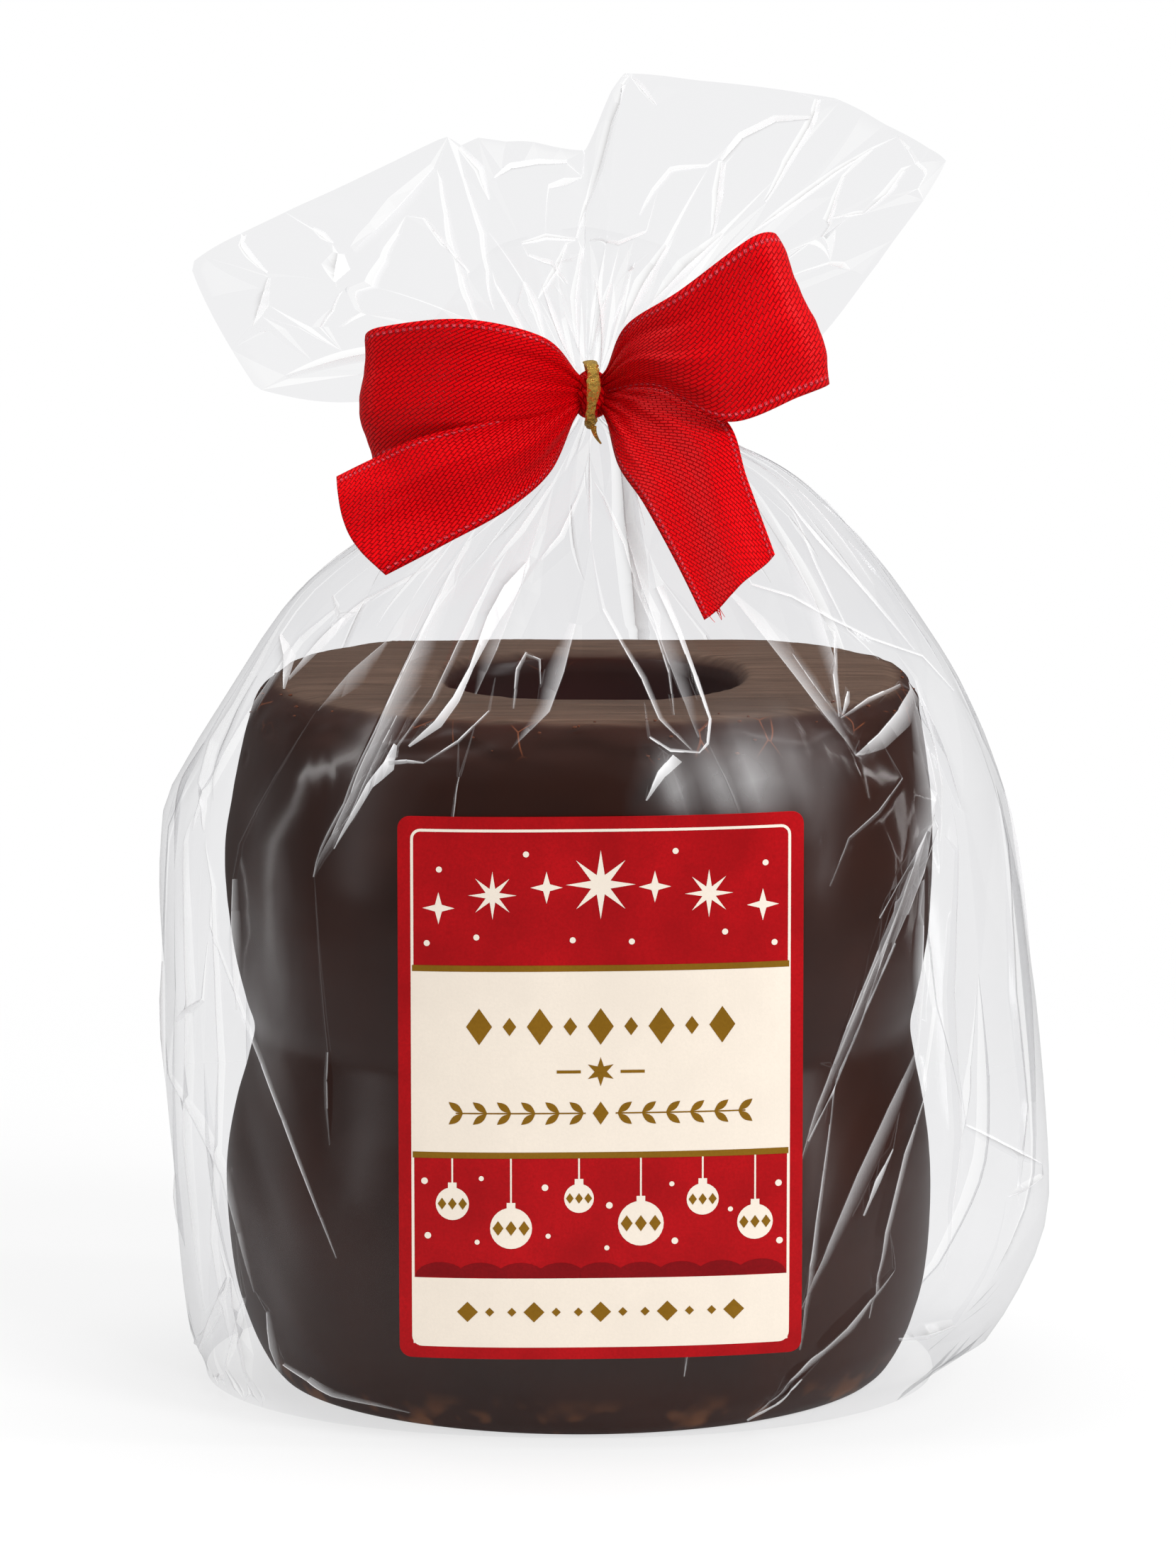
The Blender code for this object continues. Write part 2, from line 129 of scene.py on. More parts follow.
NECK_STREAKS, WALL_STREAKS = 110, 40
SEAM_MARGIN = 0.2
SEARCH_STEP, NUDGE = 1.5, 0.3
POUCH_WAVES, RUFFLE_WAVES, WAVE_COUNT = 0.10, 0.5, 9

# Film's tone: how much light it holds back on the wall, at the shoulder, in the ruffle and at its cut edge
WALL_TONE, SHOULDER_TONE, SHOULDER = 0.62, 0.2, (117, 128)
RUFFLE_TONE, EDGE_TONE, EDGE_BAND = 1.08, 0.8, 2.4
CLINGING, LEFT_BACK_SLOPE, RIGHT_BACK_SLOPE = 0.93, 0.29, 0.62

# Room for folds between the film and the cake: its share grows with the distance from the axis
ROOM_RADIUS, ROOM_GAIN, LEAST_ROOM, MOST_ROOM, SHOULDER_ROOM = 58, 5, 0.45, 2.2, 0.6
SHOULDER_Z, CLEAR_OF_CAKE_Z, LABEL_PRESS = 118, 121, 0.15
CRUMBS = 70

# Folds of the film, read off the photograph. Each has the pixels that its crest passes, with the width in pixels
# of the flank beside it (on the right of the way down, or on the left where it is negative), how far it stands
# out in millimetres before FOLD_RISE lowers it, and how bright the painted highlight on its flank is; its other
# flank gets painted shade
PICTURE_WIDTH, PICTURE_HEIGHT = 1659, 2212
POUCH_FOLDS = (
    (((742, 795, 8), (712, 828, 24), (690, 868, 20), (663, 943, 5), (640, 985, 11),
       (614, 1018, 14), (576, 1052, 4)), 1.6, 1.0),
    (((655, 770, 8), (590, 905, 34), (545, 1000, 40), (497, 1120, 26), (441, 1237, 3)), 1.4, 0.5),
    (((640, 800, 3), (575, 930, 5), (530, 1030, 5), (441, 1237, 3)), 1.0, 0.75),
    (((556, 1050, 6), (543, 1078, 18), (520, 1107, 8), (470, 1197, 2)), 1.3, 1.0),
    (((548, 1074, -7), (575, 1073, -4), (598, 1076, -2)), 0.6, 0.9),
    (((690, 1003, 2), (645, 1046, 4), (598, 1076, 2)), 0.6, 0.7),
    (((700, 800, 4), (660, 880, 10), (610, 985, 9), (560, 1052, 4)), 0.9, 0.35),
    (((560, 1010, 3), (540, 1050, 9), (495, 1150, 10), (478, 1170, 3)), 0.8, 0.40),
    (((396, 896, 3), (402, 925, 20), (400, 972, 3)), 1.2, 1.0),
    (((520, 843, 4), (484, 874, 9), (452, 905, 12), (405, 958, 5)), 1.3, 0.85),
    (((470, 842, -3), (480, 868, -9), (505, 864, -4)), 0.8, 0.7),
    (((600, 800, 3), (520, 845, 6), (470, 880, 4)), 0.8, 0.45),
    (((380, 905, 4), (345, 965, 8), (300, 1045, 9), (284, 1105, 9), (287, 1175, 2)), 1.2, 0.65),
    (((476, 858, 4), (424, 902, 8), (354, 998, 9), (288, 1118, 6), (270, 1172, 3)), 1.1, 0.45),
    (((545, 905, 5), (495, 950, 30), (449, 1003, 2)), 0.8, 0.42),
    (((812, 880, -12), (795, 950, -34), (775, 1005, -26), (722, 1057, -2)), 0.9, 0.55),
    (((742, 920, 4), (728, 945, 8), (724, 1000, 3)), 0.7, 0.55),
    (((742, 922, -3), (762, 930, -5), (763, 965, -2)), 0.7, 0.50),
    (((926, 830, 14), (955, 895, 10), (978, 955, 8), (1000, 1015, 5), (997, 1048, 4),
       (986, 1061, 2)), 1.5, 1.0),
    (((916, 1040, 3), (945, 1060, 6), (988, 1062, 3)), 0.7, 0.85),
    (((950, 1064, 20), (928, 1090, 14), (911, 1129, 2)), 1.2, 1.0),
    (((850, 860, 6), (880, 915, 8), (905, 958, 12), (930, 1015, 10), (976, 1058, 3)), 1.2, 0.60),
    (((893, 825, 6), (925, 895, 9), (943, 950, 6), (951, 1008, 2)), 1.0, 0.45),
    (((1038, 850, 12), (1085, 910, 34), (1130, 968, 34), (1170, 1020, 24), (1207, 1065, 4)), 1.5, 0.5),
    (((1207, 1065, -4), (1235, 1040, -26), (1262, 1007, -34), (1284, 972, -24)), 1.3, 0.75),
    (((1110, 770, -10), (1150, 850, -26), (1176, 930, -22), (1188, 1010, -4)), 1.0, 0.42),
    (((1290, 990, -8), (1316, 1120, -30), (1300, 1230, -36), (1262, 1330, -12)), 1.0, 0.45),
    (((1317, 1150, 3), (1290, 1200, 7), (1262, 1250, 6), (1240, 1295, 3)), 0.8, 0.75),
    (((1322, 1165, 3), (1302, 1220, 6), (1280, 1290, 3)), 0.8, 0.7),
    (((880, 740, 20), (905, 830, 40), (945, 940, 34), (985, 1040, 6)), 1.0, 0.35),
    (((760, 740, -14), (735, 830, -36), (700, 920, -30), (672, 980, -5)), 1.0, 0.38),
    (((1178, 890, 3), (1176, 950, 7), (1183, 1011, 3)), -0.8, 0.75),
    (((1270, 964, 5), (1225, 984, 10), (1186, 1012, 4)), -0.8, 0.60),
    (((1118, 922, 3), (1150, 967, 6), (1183, 1012, 2)), -0.7, 0.35),
    (((1196, 975, 3), (1192, 990, 8), (1188, 1008, 3)), -0.6, 0.80),
    (((1060, 826, 5), (1115, 843, 7), (1170, 874, 8), (1230, 903, 6), (1300, 927, 5),
       (1345, 975, 3)), 1.2, 0.70),
    (((1118, 725, 4), (1150, 800, 6), (1195, 890, 5), (1240, 930, 3)), 1.0, 0.40),
    (((1096, 692, 5), (1152, 764, 8), (1220, 838, 8), (1290, 918, 4)), 1.0, 0.55),
    (((1280, 1230, 18), (1235, 1340, 26), (1190, 1450, 24), (1152, 1560, 12), (1131, 1635, 3)), 1.0, 0.5),
    (((1262, 1330, 4), (1216, 1430, 6), (1172, 1540, 5), (1140, 1610, 3)), 0.8, 0.8),
    (((1290, 1480, 10), (1250, 1560, 26), (1205, 1660, 30), (1165, 1760, 18), (1131, 1845, 3)), 1.0, 0.5),
    (((1258, 1620, 4), (1232, 1665, 14), (1218, 1715, 3)), 0.9, 0.9),
    (((1302, 1545, 4), (1272, 1625, 16), (1246, 1740, 14), (1226, 1860, 3)), 1.0, 0.6),
    (((1262, 1790, 3), (1192, 1872, 18), (1112, 1946, 10), (1057, 2002, 3)), 1.0, 0.6),
    (((1302, 1240, -5), (1297, 1370, -12), (1292, 1490, -4)), 0.9, 0.6),
    (((330, 1240, 5), (331, 1330, 12), (333, 1425, 3)), 0.8, 0.55),
    (((286, 1410, 3), (266, 1424, 8), (247, 1441, 3)), 0.9, 0.95),
    (((240, 1515, 3), (280, 1580, 10), (317, 1656, 10), (358, 1823, 3)), 0.9, 0.6),
    (((323, 1805, 4), (300, 1860, 18), (282, 1912, 5)), 1.0, 0.65),
    (((326, 1806, -4), (342, 1880, -20), (352, 1950, -6)), 1.0, 0.6),
    (((312, 1938, 5), (306, 1962, 14), (314, 1978, 3)), 1.0, 1.0),
    (((332, 1990, 3), (360, 1976, 8), (386, 1986, 3)), 0.9, 0.8),
    (((1290, 960, 10), (1308, 1040, 14), (1322, 1110, 12), (1326, 1188, 4)), 1.2, 0.45),
    (((1300, 985, 5), (1330, 1070, 8), (1356, 1146, 2)), 0.9, 0.35),
    (((1308, 1165, 14), (1284, 1222, 18), (1255, 1300, 14), (1215, 1400, 10), (1176, 1500, 5)), 1.2, 0.70),
    (((1290, 1210, 6), (1262, 1290, 9), (1236, 1370, 6), (1205, 1460, 3)), 0.8, 0.50),
    (((1178, 1520, 4), (1160, 1650, 9), (1142, 1790, 10), (1128, 1905, 4)), 0.9, 0.50),
    (((1272, 1098, 4), (1236, 1145, 10), (1195, 1182, 8), (1170, 1250, 3)), 0.7, 0.28),
    (((1361, 1588, 4), (1391, 1604, 8), (1440, 1630, 8), (1468, 1642, 3)), 1.0, 0.80),
    (((1468, 1658, 4), (1445, 1675, 8), (1422, 1688, 3)), 1.0, 0.70),
    (((1345, 1868, 8), (1305, 1880, 16), (1268, 1888, 5)), 1.0, 0.80),
    (((1130, 1944, 4), (1095, 1975, 9), (1053, 2002, 4)), 1.0, 1.0),
    (((1420, 1190, 4), (1428, 1400, 8), (1445, 1560, 6), (1436, 1700, 3)), 0.9, 0.40),
    (((1350, 1200, 3), (1342, 1400, 7), (1352, 1600, 7), (1330, 1800, 3)), 0.9, 0.35),
    (((297, 1304, 2), (370, 1500, 3), (430, 1660, 4), (475, 1775, 2)), 0.6, 0.55),
    (((262, 1190, 4), (268, 1400, 9), (264, 1600, 8), (286, 1850, 4)), 0.9, 0.45),
    (((300, 1250, 3), (312, 1500, 6), (302, 1750, 6), (322, 1890, 3)), 0.8, 0.35),
    (((322, 1800, 3), (305, 1850, 9), (280, 1898, 3)), 1.0, 0.50),
    (((345, 1830, 3), (335, 1875, 8), (318, 1930, 3)), 1.0, 0.50),
    (((378, 1850, 3), (385, 1900, 8), (400, 1950, 3)), 1.0, 0.45),
    (((290, 1950, 3), (335, 1968, 8), (372, 1976, 3)), 0.9, 0.80),
    (((400, 1925, 3), (470, 1968, 8), (578, 1994, 3)), 0.8, 0.60),
    (((815, 700, 4), (790, 755, 9), (760, 790, 4)), 0.9, 0.60),
    (((850, 700, 4), (880, 770, 8), (905, 850, 3)), 0.9, 0.50),
    (((780, 680, 4), (735, 745, 9), (690, 800, 3)), 0.9, 0.45),
)
MOUTH_FOLDS = (
    (((330, 333, 5), (350, 362, 7), (376, 387, 3)), 1.2, 0.9),
    (((379, 392, 4), (368, 428, 16), (357, 461, 3)), 1.2, 0.9),
    (((420, 511, 4), (392, 527, 8), (362, 541, 3)), 1.2, 0.8),
    (((482, 410, 2), (455, 465, 6), (425, 516, 3)), 1.0, 0.8),
    (((426, 518, 3), (456, 531, 6), (492, 545, 3)), 1.0, 0.8),
    (((478, 354, 10), (474, 374, 26), (471, 396, 4)), 1.0, 1.0),
    (((442, 320, 3), (456, 330, 7), (470, 340, 2)), 0.8, 0.8),
    (((598, 305, 3), (626, 342, 6), (661, 386, 3)), 1.0, 0.8),
    (((648, 208, 4), (676, 238, 9), (689, 282, 3)), 1.2, 0.8),
    (((800, 228, -4), (760, 228, -7), (722, 235, -8), (698, 251, -3)), 1.0, 0.9),
    (((562, 326, 6), (526, 400, 16), (492, 480, 6)), 1.2, 0.35),
    (((612, 235, 8), (560, 290, 22), (500, 350, 10)), 1.4, 0.25),
    (((622, 250, 4), (640, 350, 9), (664, 425, 8), (686, 480, 3)), 1.0, 0.45),
    (((655, 250, 4), (682, 330, 8), (696, 440, 3)), 1.0, 0.40),
    (((880, 118, 4), (860, 172, 8), (845, 240, 8), (812, 338, 4)), 1.3, 0.9),
    (((893, 106, 3), (908, 125, 6), (926, 148, 2)), 0.8, 0.9),
    (((1160, 135, 5), (1140, 180, 9), (1108, 228, 8), (1078, 282, 4)), 1.2, 0.9),
    (((1145, 168, -4), (1095, 172, -8), (1048, 196, -9), (1020, 228, -8)), 1.2, 0.9),
    (((1019, 230, 6), (1012, 270, 10), (1003, 330, 4)), 1.2, 0.9),
    (((1230, 210, 3), (1180, 241, 6), (1128, 280, 8), (1062, 328, 4)), 1.2, 0.9),
    (((1275, 240, 5), (1250, 272, 8), (1218, 300, 5), (1172, 306, 3)), 1.0, 0.7),
    (((1190, 250, 3), (1166, 310, 8), (1145, 370, 4)), 1.0, 0.8),
    (((1192, 350, 4), (1180, 398, 8), (1166, 432, 3)), 1.0, 0.6),
    (((1270, 190, 3), (1292, 232, 7), (1298, 300, 3)), 1.0, 0.3),
    (((912, 328, -3), (872, 345, -6), (834, 340, -3)), 0.8, 0.8),
    (((1000, 236, 3), (946, 242, 7), (922, 270, 6), (900, 305, 3)), 1.0, 0.4),
    (((940, 345, 6), (905, 400, 14), (880, 455, 8)), 1.2, 0.9),
    (((1018, 328, 6), (965, 375, 18), (918, 428, 8)), 1.2, 0.8),
    (((812, 340, 3), (770, 334, 6), (735, 345, 3)), 0.9, 0.8),
    (((745, 362, 3), (778, 372, 6), (800, 402, 3)), 0.9, 0.8),
    (((800, 345, 3), (786, 380, 8), (758, 422, 3)), 0.9, 0.7),
    (((738, 400, 3), (757, 442, 8), (772, 492, 3)), 0.9, 0.7),
    (((822, 352, 4), (812, 420, 10), (815, 490, 4)), 1.0, 0.6),
    (((862, 400, 4), (845, 450, 9), (832, 500, 4)), 1.0, 0.7),
    (((700, 405, 3), (728, 450, 8), (756, 500, 3)), 0.9, 0.5),
)

# Soft reflections on the film: place, half width, half height and strength
VEILS = (
    (27.5, 109.5, 8.0, 6.0, 0.42),
    (15.5, 109.0, 3.2, 4.5, 0.30),
    (-51.0, 74.0, 4.0, 26.0, 0.13),
    (-49.0, 30.0, 4.0, 18.0, 0.05),
)


def linear(code):
    """An sRGB hex colour as linear red, green and blue."""
    values = [int(code[k : k + 2], 16) / 255 for k in (1, 3, 5)]
    return tuple(v / 12.92 if v <= 0.04045 else ((v + 0.055) / 1.055) ** 2.4 for v in values)


def ease(low, high, value):
    """0 below low, 1 above high, and a smooth rise between them."""
    t = np.clip((np.asarray(value, float) - low) / (high - low), 0, 1)
    return t * t * (3 - 2 * t)


def through(points, shares, closed=False):
    """Points on the smooth curve through all the points, at shares of its way from 0 to 1."""
    points = np.array(points, float)
    count = len(points)
    spans = count if closed else count - 1
    place = np.asarray(shares, float) * spans
    index = np.clip(np.floor(place).astype(int), 0, spans - 1)
    t = (place - index)[:, None]
    near = [index + k for k in (-1, 0, 1, 2)]
    a, b, c, d = (points[k % count] if closed else points[np.clip(k, 0, count - 1)] for k in near)
    return 0.5 * (2 * b + (c - a) * t + (2 * a - 5 * b + 4 * c - d) * t**2 + (3 * b - a - 3 * c + d) * t**3)


def unit(vectors, least=1e-6):
    """The vectors at a length of one."""
    return vectors / np.maximum(np.linalg.norm(vectors, axis=1, keepdims=True), least)


def sections(height):
    """The bag's left, right, front and back half sizes and its fullness, at heights in millimetres."""
    rows = np.array(BAG_SECTIONS, float)
    level, values = rows[:, 0], rows[:, 1:]
    step = np.diff(level)
    rise = np.diff(values, axis=0) / step[:, None]
    both = rise[:-1] * rise[1:]
    total = np.where(rise[:-1] + rise[1:] == 0, 1, rise[:-1] + rise[1:])
    slope = np.zeros_like(values)
    slope[1:-1] = np.where(both > 0, 2 * both / total, 0)
    height = np.asarray(height, float)
    low = np.clip(np.searchsorted(level, height, side="left") - 1, 0, len(level) - 2)
    wide = step[low][:, None]
    t = np.clip((height - level[low])[:, None] / wide, 0, 1)
    return (
        (1 + 2 * t) * (1 - t) ** 2 * values[low]
        + t * (1 - t) ** 2 * wide * slope[low]
        + t * t * (3 - 2 * t) * values[low + 1]
        + t * t * (t - 1) * wide * slope[low + 1]
    ).T


def bag_points(angle, height):
    """Points on the smooth bag."""
    left, right, front, back, fullness = sections(height)
    cos, sin = np.cos(angle), np.sin(angle)
    x = np.sign(cos) * np.abs(cos) ** (2 / fullness) * np.where(cos > 0, right, left)
    y = np.sign(sin) * np.abs(sin) ** (2 / fullness) * np.where(sin > 0, back, front)
    return np.stack([x + NECK_X * ease(PLEAT_START, PLEAT_END, height), y, np.asarray(height, float)], axis=1)


def bag_front(x, height):
    """The y values of the film's front, for places on the label."""
    left, right, front, _, fullness = sections(height)
    side = np.where(x > 0, right, left)
    return -front * (1 - np.abs(x / side) ** fullness) ** (1 / fullness)


LEVELS = np.linspace(0, NECK_TOP, 400)
MEAN_SIZES = sections(LEVELS)[:4].mean(axis=0)
CLIMB = np.concatenate([[0], np.cumsum(np.hypot(np.diff(LEVELS), np.diff(MEAN_SIZES)))])


def climb_at(height):
    """The way up the bag's wall to a height, in millimetres."""
    return np.interp(height, LEVELS, CLIMB)


def level_at(climb):
    """The height at a way up the bag's wall."""
    return np.interp(climb, CLIMB, LEVELS)


def pouch_surface(flat):
    """Places on the bag for points of the unrolled film: x goes round it and y climbs it."""
    return bag_points(flat[:, 0] / GIRTH * 2 * math.pi, level_at(flat[:, 1]))


def cut_edge(share):
    """Places on the mouth's cut edge, nearly straight between its corners."""
    corners = np.array(MOUTH_EDGE, float)
    place = share * len(corners)
    index = np.floor(place).astype(int) % len(corners)
    following = corners[(index + 1) % len(corners)]
    straight = corners[index] + (following - corners[index]) * (place - np.floor(place))[:, None]
    smooth = through(MOUTH_EDGE, share, closed=True)
    return smooth + (straight - smooth) * EDGE_STRAIGHT


def mouth_surface(flat):
    """Places on the ruffled mouth for points of the unrolled film: x goes round it and y outwards."""
    share = flat[:, 0] / MOUTH_GIRTH
    out = (flat[:, 1] / MOUTH_REACH)[:, None]
    turn = 2 * math.pi * share
    edge = cut_edge(share % 1)
    around = np.stack([np.cos(turn), np.sin(turn), np.zeros_like(turn)], axis=1)
    start = np.array([NECK_X, 0, NECK_TOP]) + MOUTH_START * around
    reach = edge - start
    length = np.linalg.norm(reach, axis=1, keepdims=True)
    swell = RUFFLE_SWELL * length * np.sin(math.pi * out) * (1 - reach[:, 2:] / length)
    return start + reach * out + swell * np.array([[0, 0, 1]])


def facing(surface, flat, step=0.4):
    """The outward direction of a surface at points of the unrolled film, and how stretched it is across."""
    across = surface(flat + [step, 0]) - surface(flat - [step, 0])
    climb = surface(flat + [0, step]) - surface(flat - [0, step])
    return unit(np.cross(across, climb), 1e-9), np.linalg.norm(across, axis=1) / (2 * step)


def project(points):
    """The photograph's pixels at which points in millimetres are seen."""
    tilt = math.radians(CAMERA_TILT)
    focal = CAMERA_LENS / CAMERA_SENSOR * PICTURE_HEIGHT
    x, y, z = (np.asarray(points, float) - CAMERA_PLACE).T
    depth = y * math.sin(tilt) - z * math.cos(tilt)
    rise = y * math.cos(tilt) + z * math.sin(tilt)
    across, down = PICTURE_WIDTH / 2 + focal * x / depth, PICTURE_HEIGHT / 2 - focal * rise / depth
    return np.stack([across, down], axis=1)


class Seen:
    """Finds the place on an unrolled sheet of film that is seen at a pixel of the photograph."""

    def __init__(self, surface, low, high, top):
        across, climb = np.meshgrid(np.arange(low, high, SEARCH_STEP), np.arange(0, top, SEARCH_STEP))
        self.surface = surface
        self.flats = np.stack([across.ravel(), climb.ravel()], axis=1)
        self.pixels = project(surface(self.flats))

    def at(self, u, v):
        """The nearest known place, moved along the sheet until it is seen at the pixel."""
        flat = self.flats[np.argmin(np.hypot(*(self.pixels - (u, v)).T))].copy()
        for _ in range(3):
            near = project(self.surface(flat + np.array([(0, 0), (NUDGE, 0), (0, NUDGE)])))
            turn = np.column_stack([near[1] - near[0], near[2] - near[0]]) / NUDGE
            if abs(np.linalg.det(turn)) < 2:
                break
            flat = flat + np.clip(np.linalg.solve(turn, (u, v) - near[0]), -SEARCH_STEP, SEARCH_STEP)
        return flat


class Crumple:
    """Points of an unrolled sheet of film that closes round, how far each stands out, and its creases."""

    def __init__(self, girth):
        self.girth = girth
        self.places = []
        self.rises = []
        self.flanks = []
        self.creases = {}
        self.lengthways = LENGTHWAYS

    def point(self, x, y, rise):
        """Adds a point and gives its number."""
        self.places.append((x % self.girth, y))
        self.rises.append(rise)
        return len(self.places) - 1

    def line(self, places, rises, white):
        """A crease through places, which become points; white is how white its line is drawn, partly the film's real
        whitening and partly painted highlight.
        """
        ids = [self.point(x, y, rise) for (x, y), rise in zip(places, rises)]
        for pair, share in zip(zip(ids, ids[1:]), white):
            self.creases[pair] = share

    def clear_of(self, x, y, gap):
        """Whether a place is at least a gap from every point so far."""
        if not self.places:
            return True
        places = np.array(self.places)
        across = np.abs(places[:, 0] - x % self.girth)
        across = np.minimum(across, self.girth - across)
        return bool(np.all(np.hypot(across, (places[:, 1] - y) * self.lengthways) > gap))

    def triangles(self):
        """The sheet's triangles: corner places, corner point numbers, and each point's place and rise."""
        places, rises = np.array(self.places), list(self.rises)
        count = len(places)
        margin = self.girth * SEAM_MARGIN
        copies, owner = [tuple(p) for p in places], list(range(count))
        twin = {}
        for k, (x, y) in enumerate(places):
            for side, near in ((1, x < margin), (-1, x > self.girth - margin)):
                if near:
                    twin[k, side] = len(copies)
                    copies.append((x + side * self.girth, y))
                    owner.append(k)
        edges = []
        for a, b in self.creases:
            gap = places[b][0] - places[a][0]
            wraps = round(gap / self.girth)
            if wraps == 0:
                edges.append((a, b))
                for side in (1, -1):
                    if (a, side) in twin and (b, side) in twin:
                        edges.append((twin[a, side], twin[b, side]))
            elif wraps == 1 and (a, 1) in twin and (b, -1) in twin:
                edges += [(twin[a, 1], b), (a, twin[b, -1])]
            elif wraps == -1 and (a, -1) in twin and (b, 1) in twin:
                edges += [(twin[a, -1], b), (a, twin[b, 1])]
        squeezed = [Vector((x, y * self.lengthways)) for x, y in copies]
        found = delaunay_2d_cdt(squeezed, edges, [], 0, 1e-4, True)
        spots = [Vector((spot.x, spot.y / self.lengthways)) for spot in found[0]]
        faces, origins = found[2], found[3]
        crossed = self.crossing_rises(found, squeezed, edges, [rises[k] for k in owner])
        keys, number = {}, []
        for place, (spot, origin) in enumerate(zip(spots, origins)):
            if origin:
                number.append(owner[origin[0]])
                continue
            key = (round(spot.x % self.girth, 1), round(spot.y, 1))
            if key not in keys:
                keys[key] = len(rises)
                rises.append(crossed.get(place))
            number.append(keys[key])
        corners, numbers = [], []
        for face in faces:
            flat = [spots[k] for k in face]
            middle = sum(p.x for p in flat) / 3
            if 0 <= middle < self.girth:
                corners.append([(p.x, p.y) for p in flat])
                numbers.append([number[k] for k in face])
        return np.array(corners), np.array(numbers), self.filled(rises, numbers)

    @staticmethod
    def crossing_rises(found, places, edges, rises):
        """How far the film stands out where creases cross: as far as the most raised of them."""
        spots, pieces, _, origins, sources = found[:5]
        crossing = defaultdict(set)
        for pair, wholes in zip(pieces, sources):
            for end in pair:
                if not origins[end]:
                    crossing[end].update(wholes)
        result = {}
        for end, wholes in crossing.items():
            heights = []
            for a, b in (edges[k] for k in wholes if k < len(edges)):
                way = places[b] - places[a]
                share = (spots[end] - places[a]).dot(way) / max(way.length_squared, 1e-9)
                heights.append(rises[a] + (rises[b] - rises[a]) * share)
            if heights:
                result[end] = max(heights, key=abs)
        return result

    @staticmethod
    def filled(rises, numbers):
        """Rises with any that are still unknown taken from their neighbours."""
        near = defaultdict(list)
        for face in numbers:
            for k in face:
                near[k] += [rises[j] for j in face if rises[j] is not None]
        guess = [np.mean(near[k]) if near[k] else 0 for k in range(len(rises))]
        return np.array([guess[k] if rise is None else rise for k, rise in enumerate(rises)])


def lattice(split):
    """Places in a triangle cut into split rows, as shares of its corners, and the small triangles."""
    spots, index = [], {}
    for i in range(split + 1):
        for j in range(split + 1 - i):
            index[i, j] = len(spots)
            spots.append((1 - (i + j) / split, i / split, j / split))
    small = []
    for i in range(split):
        for j in range(split - i):
            small.append((index[i, j], index[i + 1, j], index[i, j + 1]))
            if i + j < split - 1:
                small.append((index[i + 1, j], index[i + 1, j + 1], index[i, j + 1]))
    return np.array(spots), np.array(small)


def crease_turns(corners, numbers, rises, stretch, creases):
    """How sharply the film turns at each side of each triangle, opposite its corners, how white its crease line is
    drawn there, partly real whitening and partly painted highlight, and how far each triangle leans, which paints
    its film lighter or greyer."""
    creases = {(min(pair), max(pair)): share for pair, share in creases.items()}
    a, b, c = (np.column_stack([corners[:, k, 0] * stretch, corners[:, k, 1]]) for k in range(3))
    ha, hb, hc = (rises[numbers[:, k]] for k in range(3))
    ab, ac = b - a, c - a
    area = ab[:, 0] * ac[:, 1] - ab[:, 1] * ac[:, 0]
    area = np.where(np.abs(area) < 1e-6, 1e-6, area)
    gx = ((hb - ha) * ac[:, 1] - (hc - ha) * ab[:, 1]) / area
    gy = ((hc - ha) * ab[:, 0] - (hb - ha) * ac[:, 0]) / area
    sides = defaultdict(list)
    for face, (p, q, r) in enumerate(numbers):
        for side, pair in enumerate(((q, r), (r, p), (p, q))):
            sides[min(pair), max(pair)].append((face, side))
    turns, white = np.zeros((len(numbers), 3)), np.zeros((len(numbers), 3))
    for pair, both in sides.items():
        if len(both) == 2:
            (f, s), (g, t) = both
            turns[f, s] = turns[g, t] = math.hypot(gx[f] - gx[g], gy[f] - gy[g])
            white[f, s] = white[g, t] = creases.get(pair, LOOSE_CREASE)
    return turns, white * np.clip((turns - 0.15) / 0.6, 0, 1), np.clip(gx + 0.5 * gy, -1, 1)


def pouch_weight(flat, points):
    """How much light each place of the pouch's film holds back, as a share of the tint."""
    return WALL_TONE + SHOULDER_TONE * ease(*SHOULDER, points[:, 2])


def mouth_weight(flat, points):
    """The same for the ruffle: hardly any where its front clings to its back, and more at its cut edge."""
    x, _, z = points.T
    slope = np.where(x < NECK_X, LEFT_BACK_SLOPE, RIGHT_BACK_SLOPE)
    over = ease(0, 3, z - NECK_TOP - slope * np.abs(x - NECK_X))
    around = flat[:, 0] % MOUTH_GIRTH
    front = ease(MOUTH_BACK_END, MOUTH_BACK_END + 4, around) * ease(MOUTH_GIRTH, MOUTH_GIRTH - 4, around)
    rim = ease(MOUTH_REACH - EDGE_BAND, MOUTH_REACH, flat[:, 1])
    return (RUFFLE_TONE + EDGE_TONE * rim) * (1 - CLINGING * over * front)


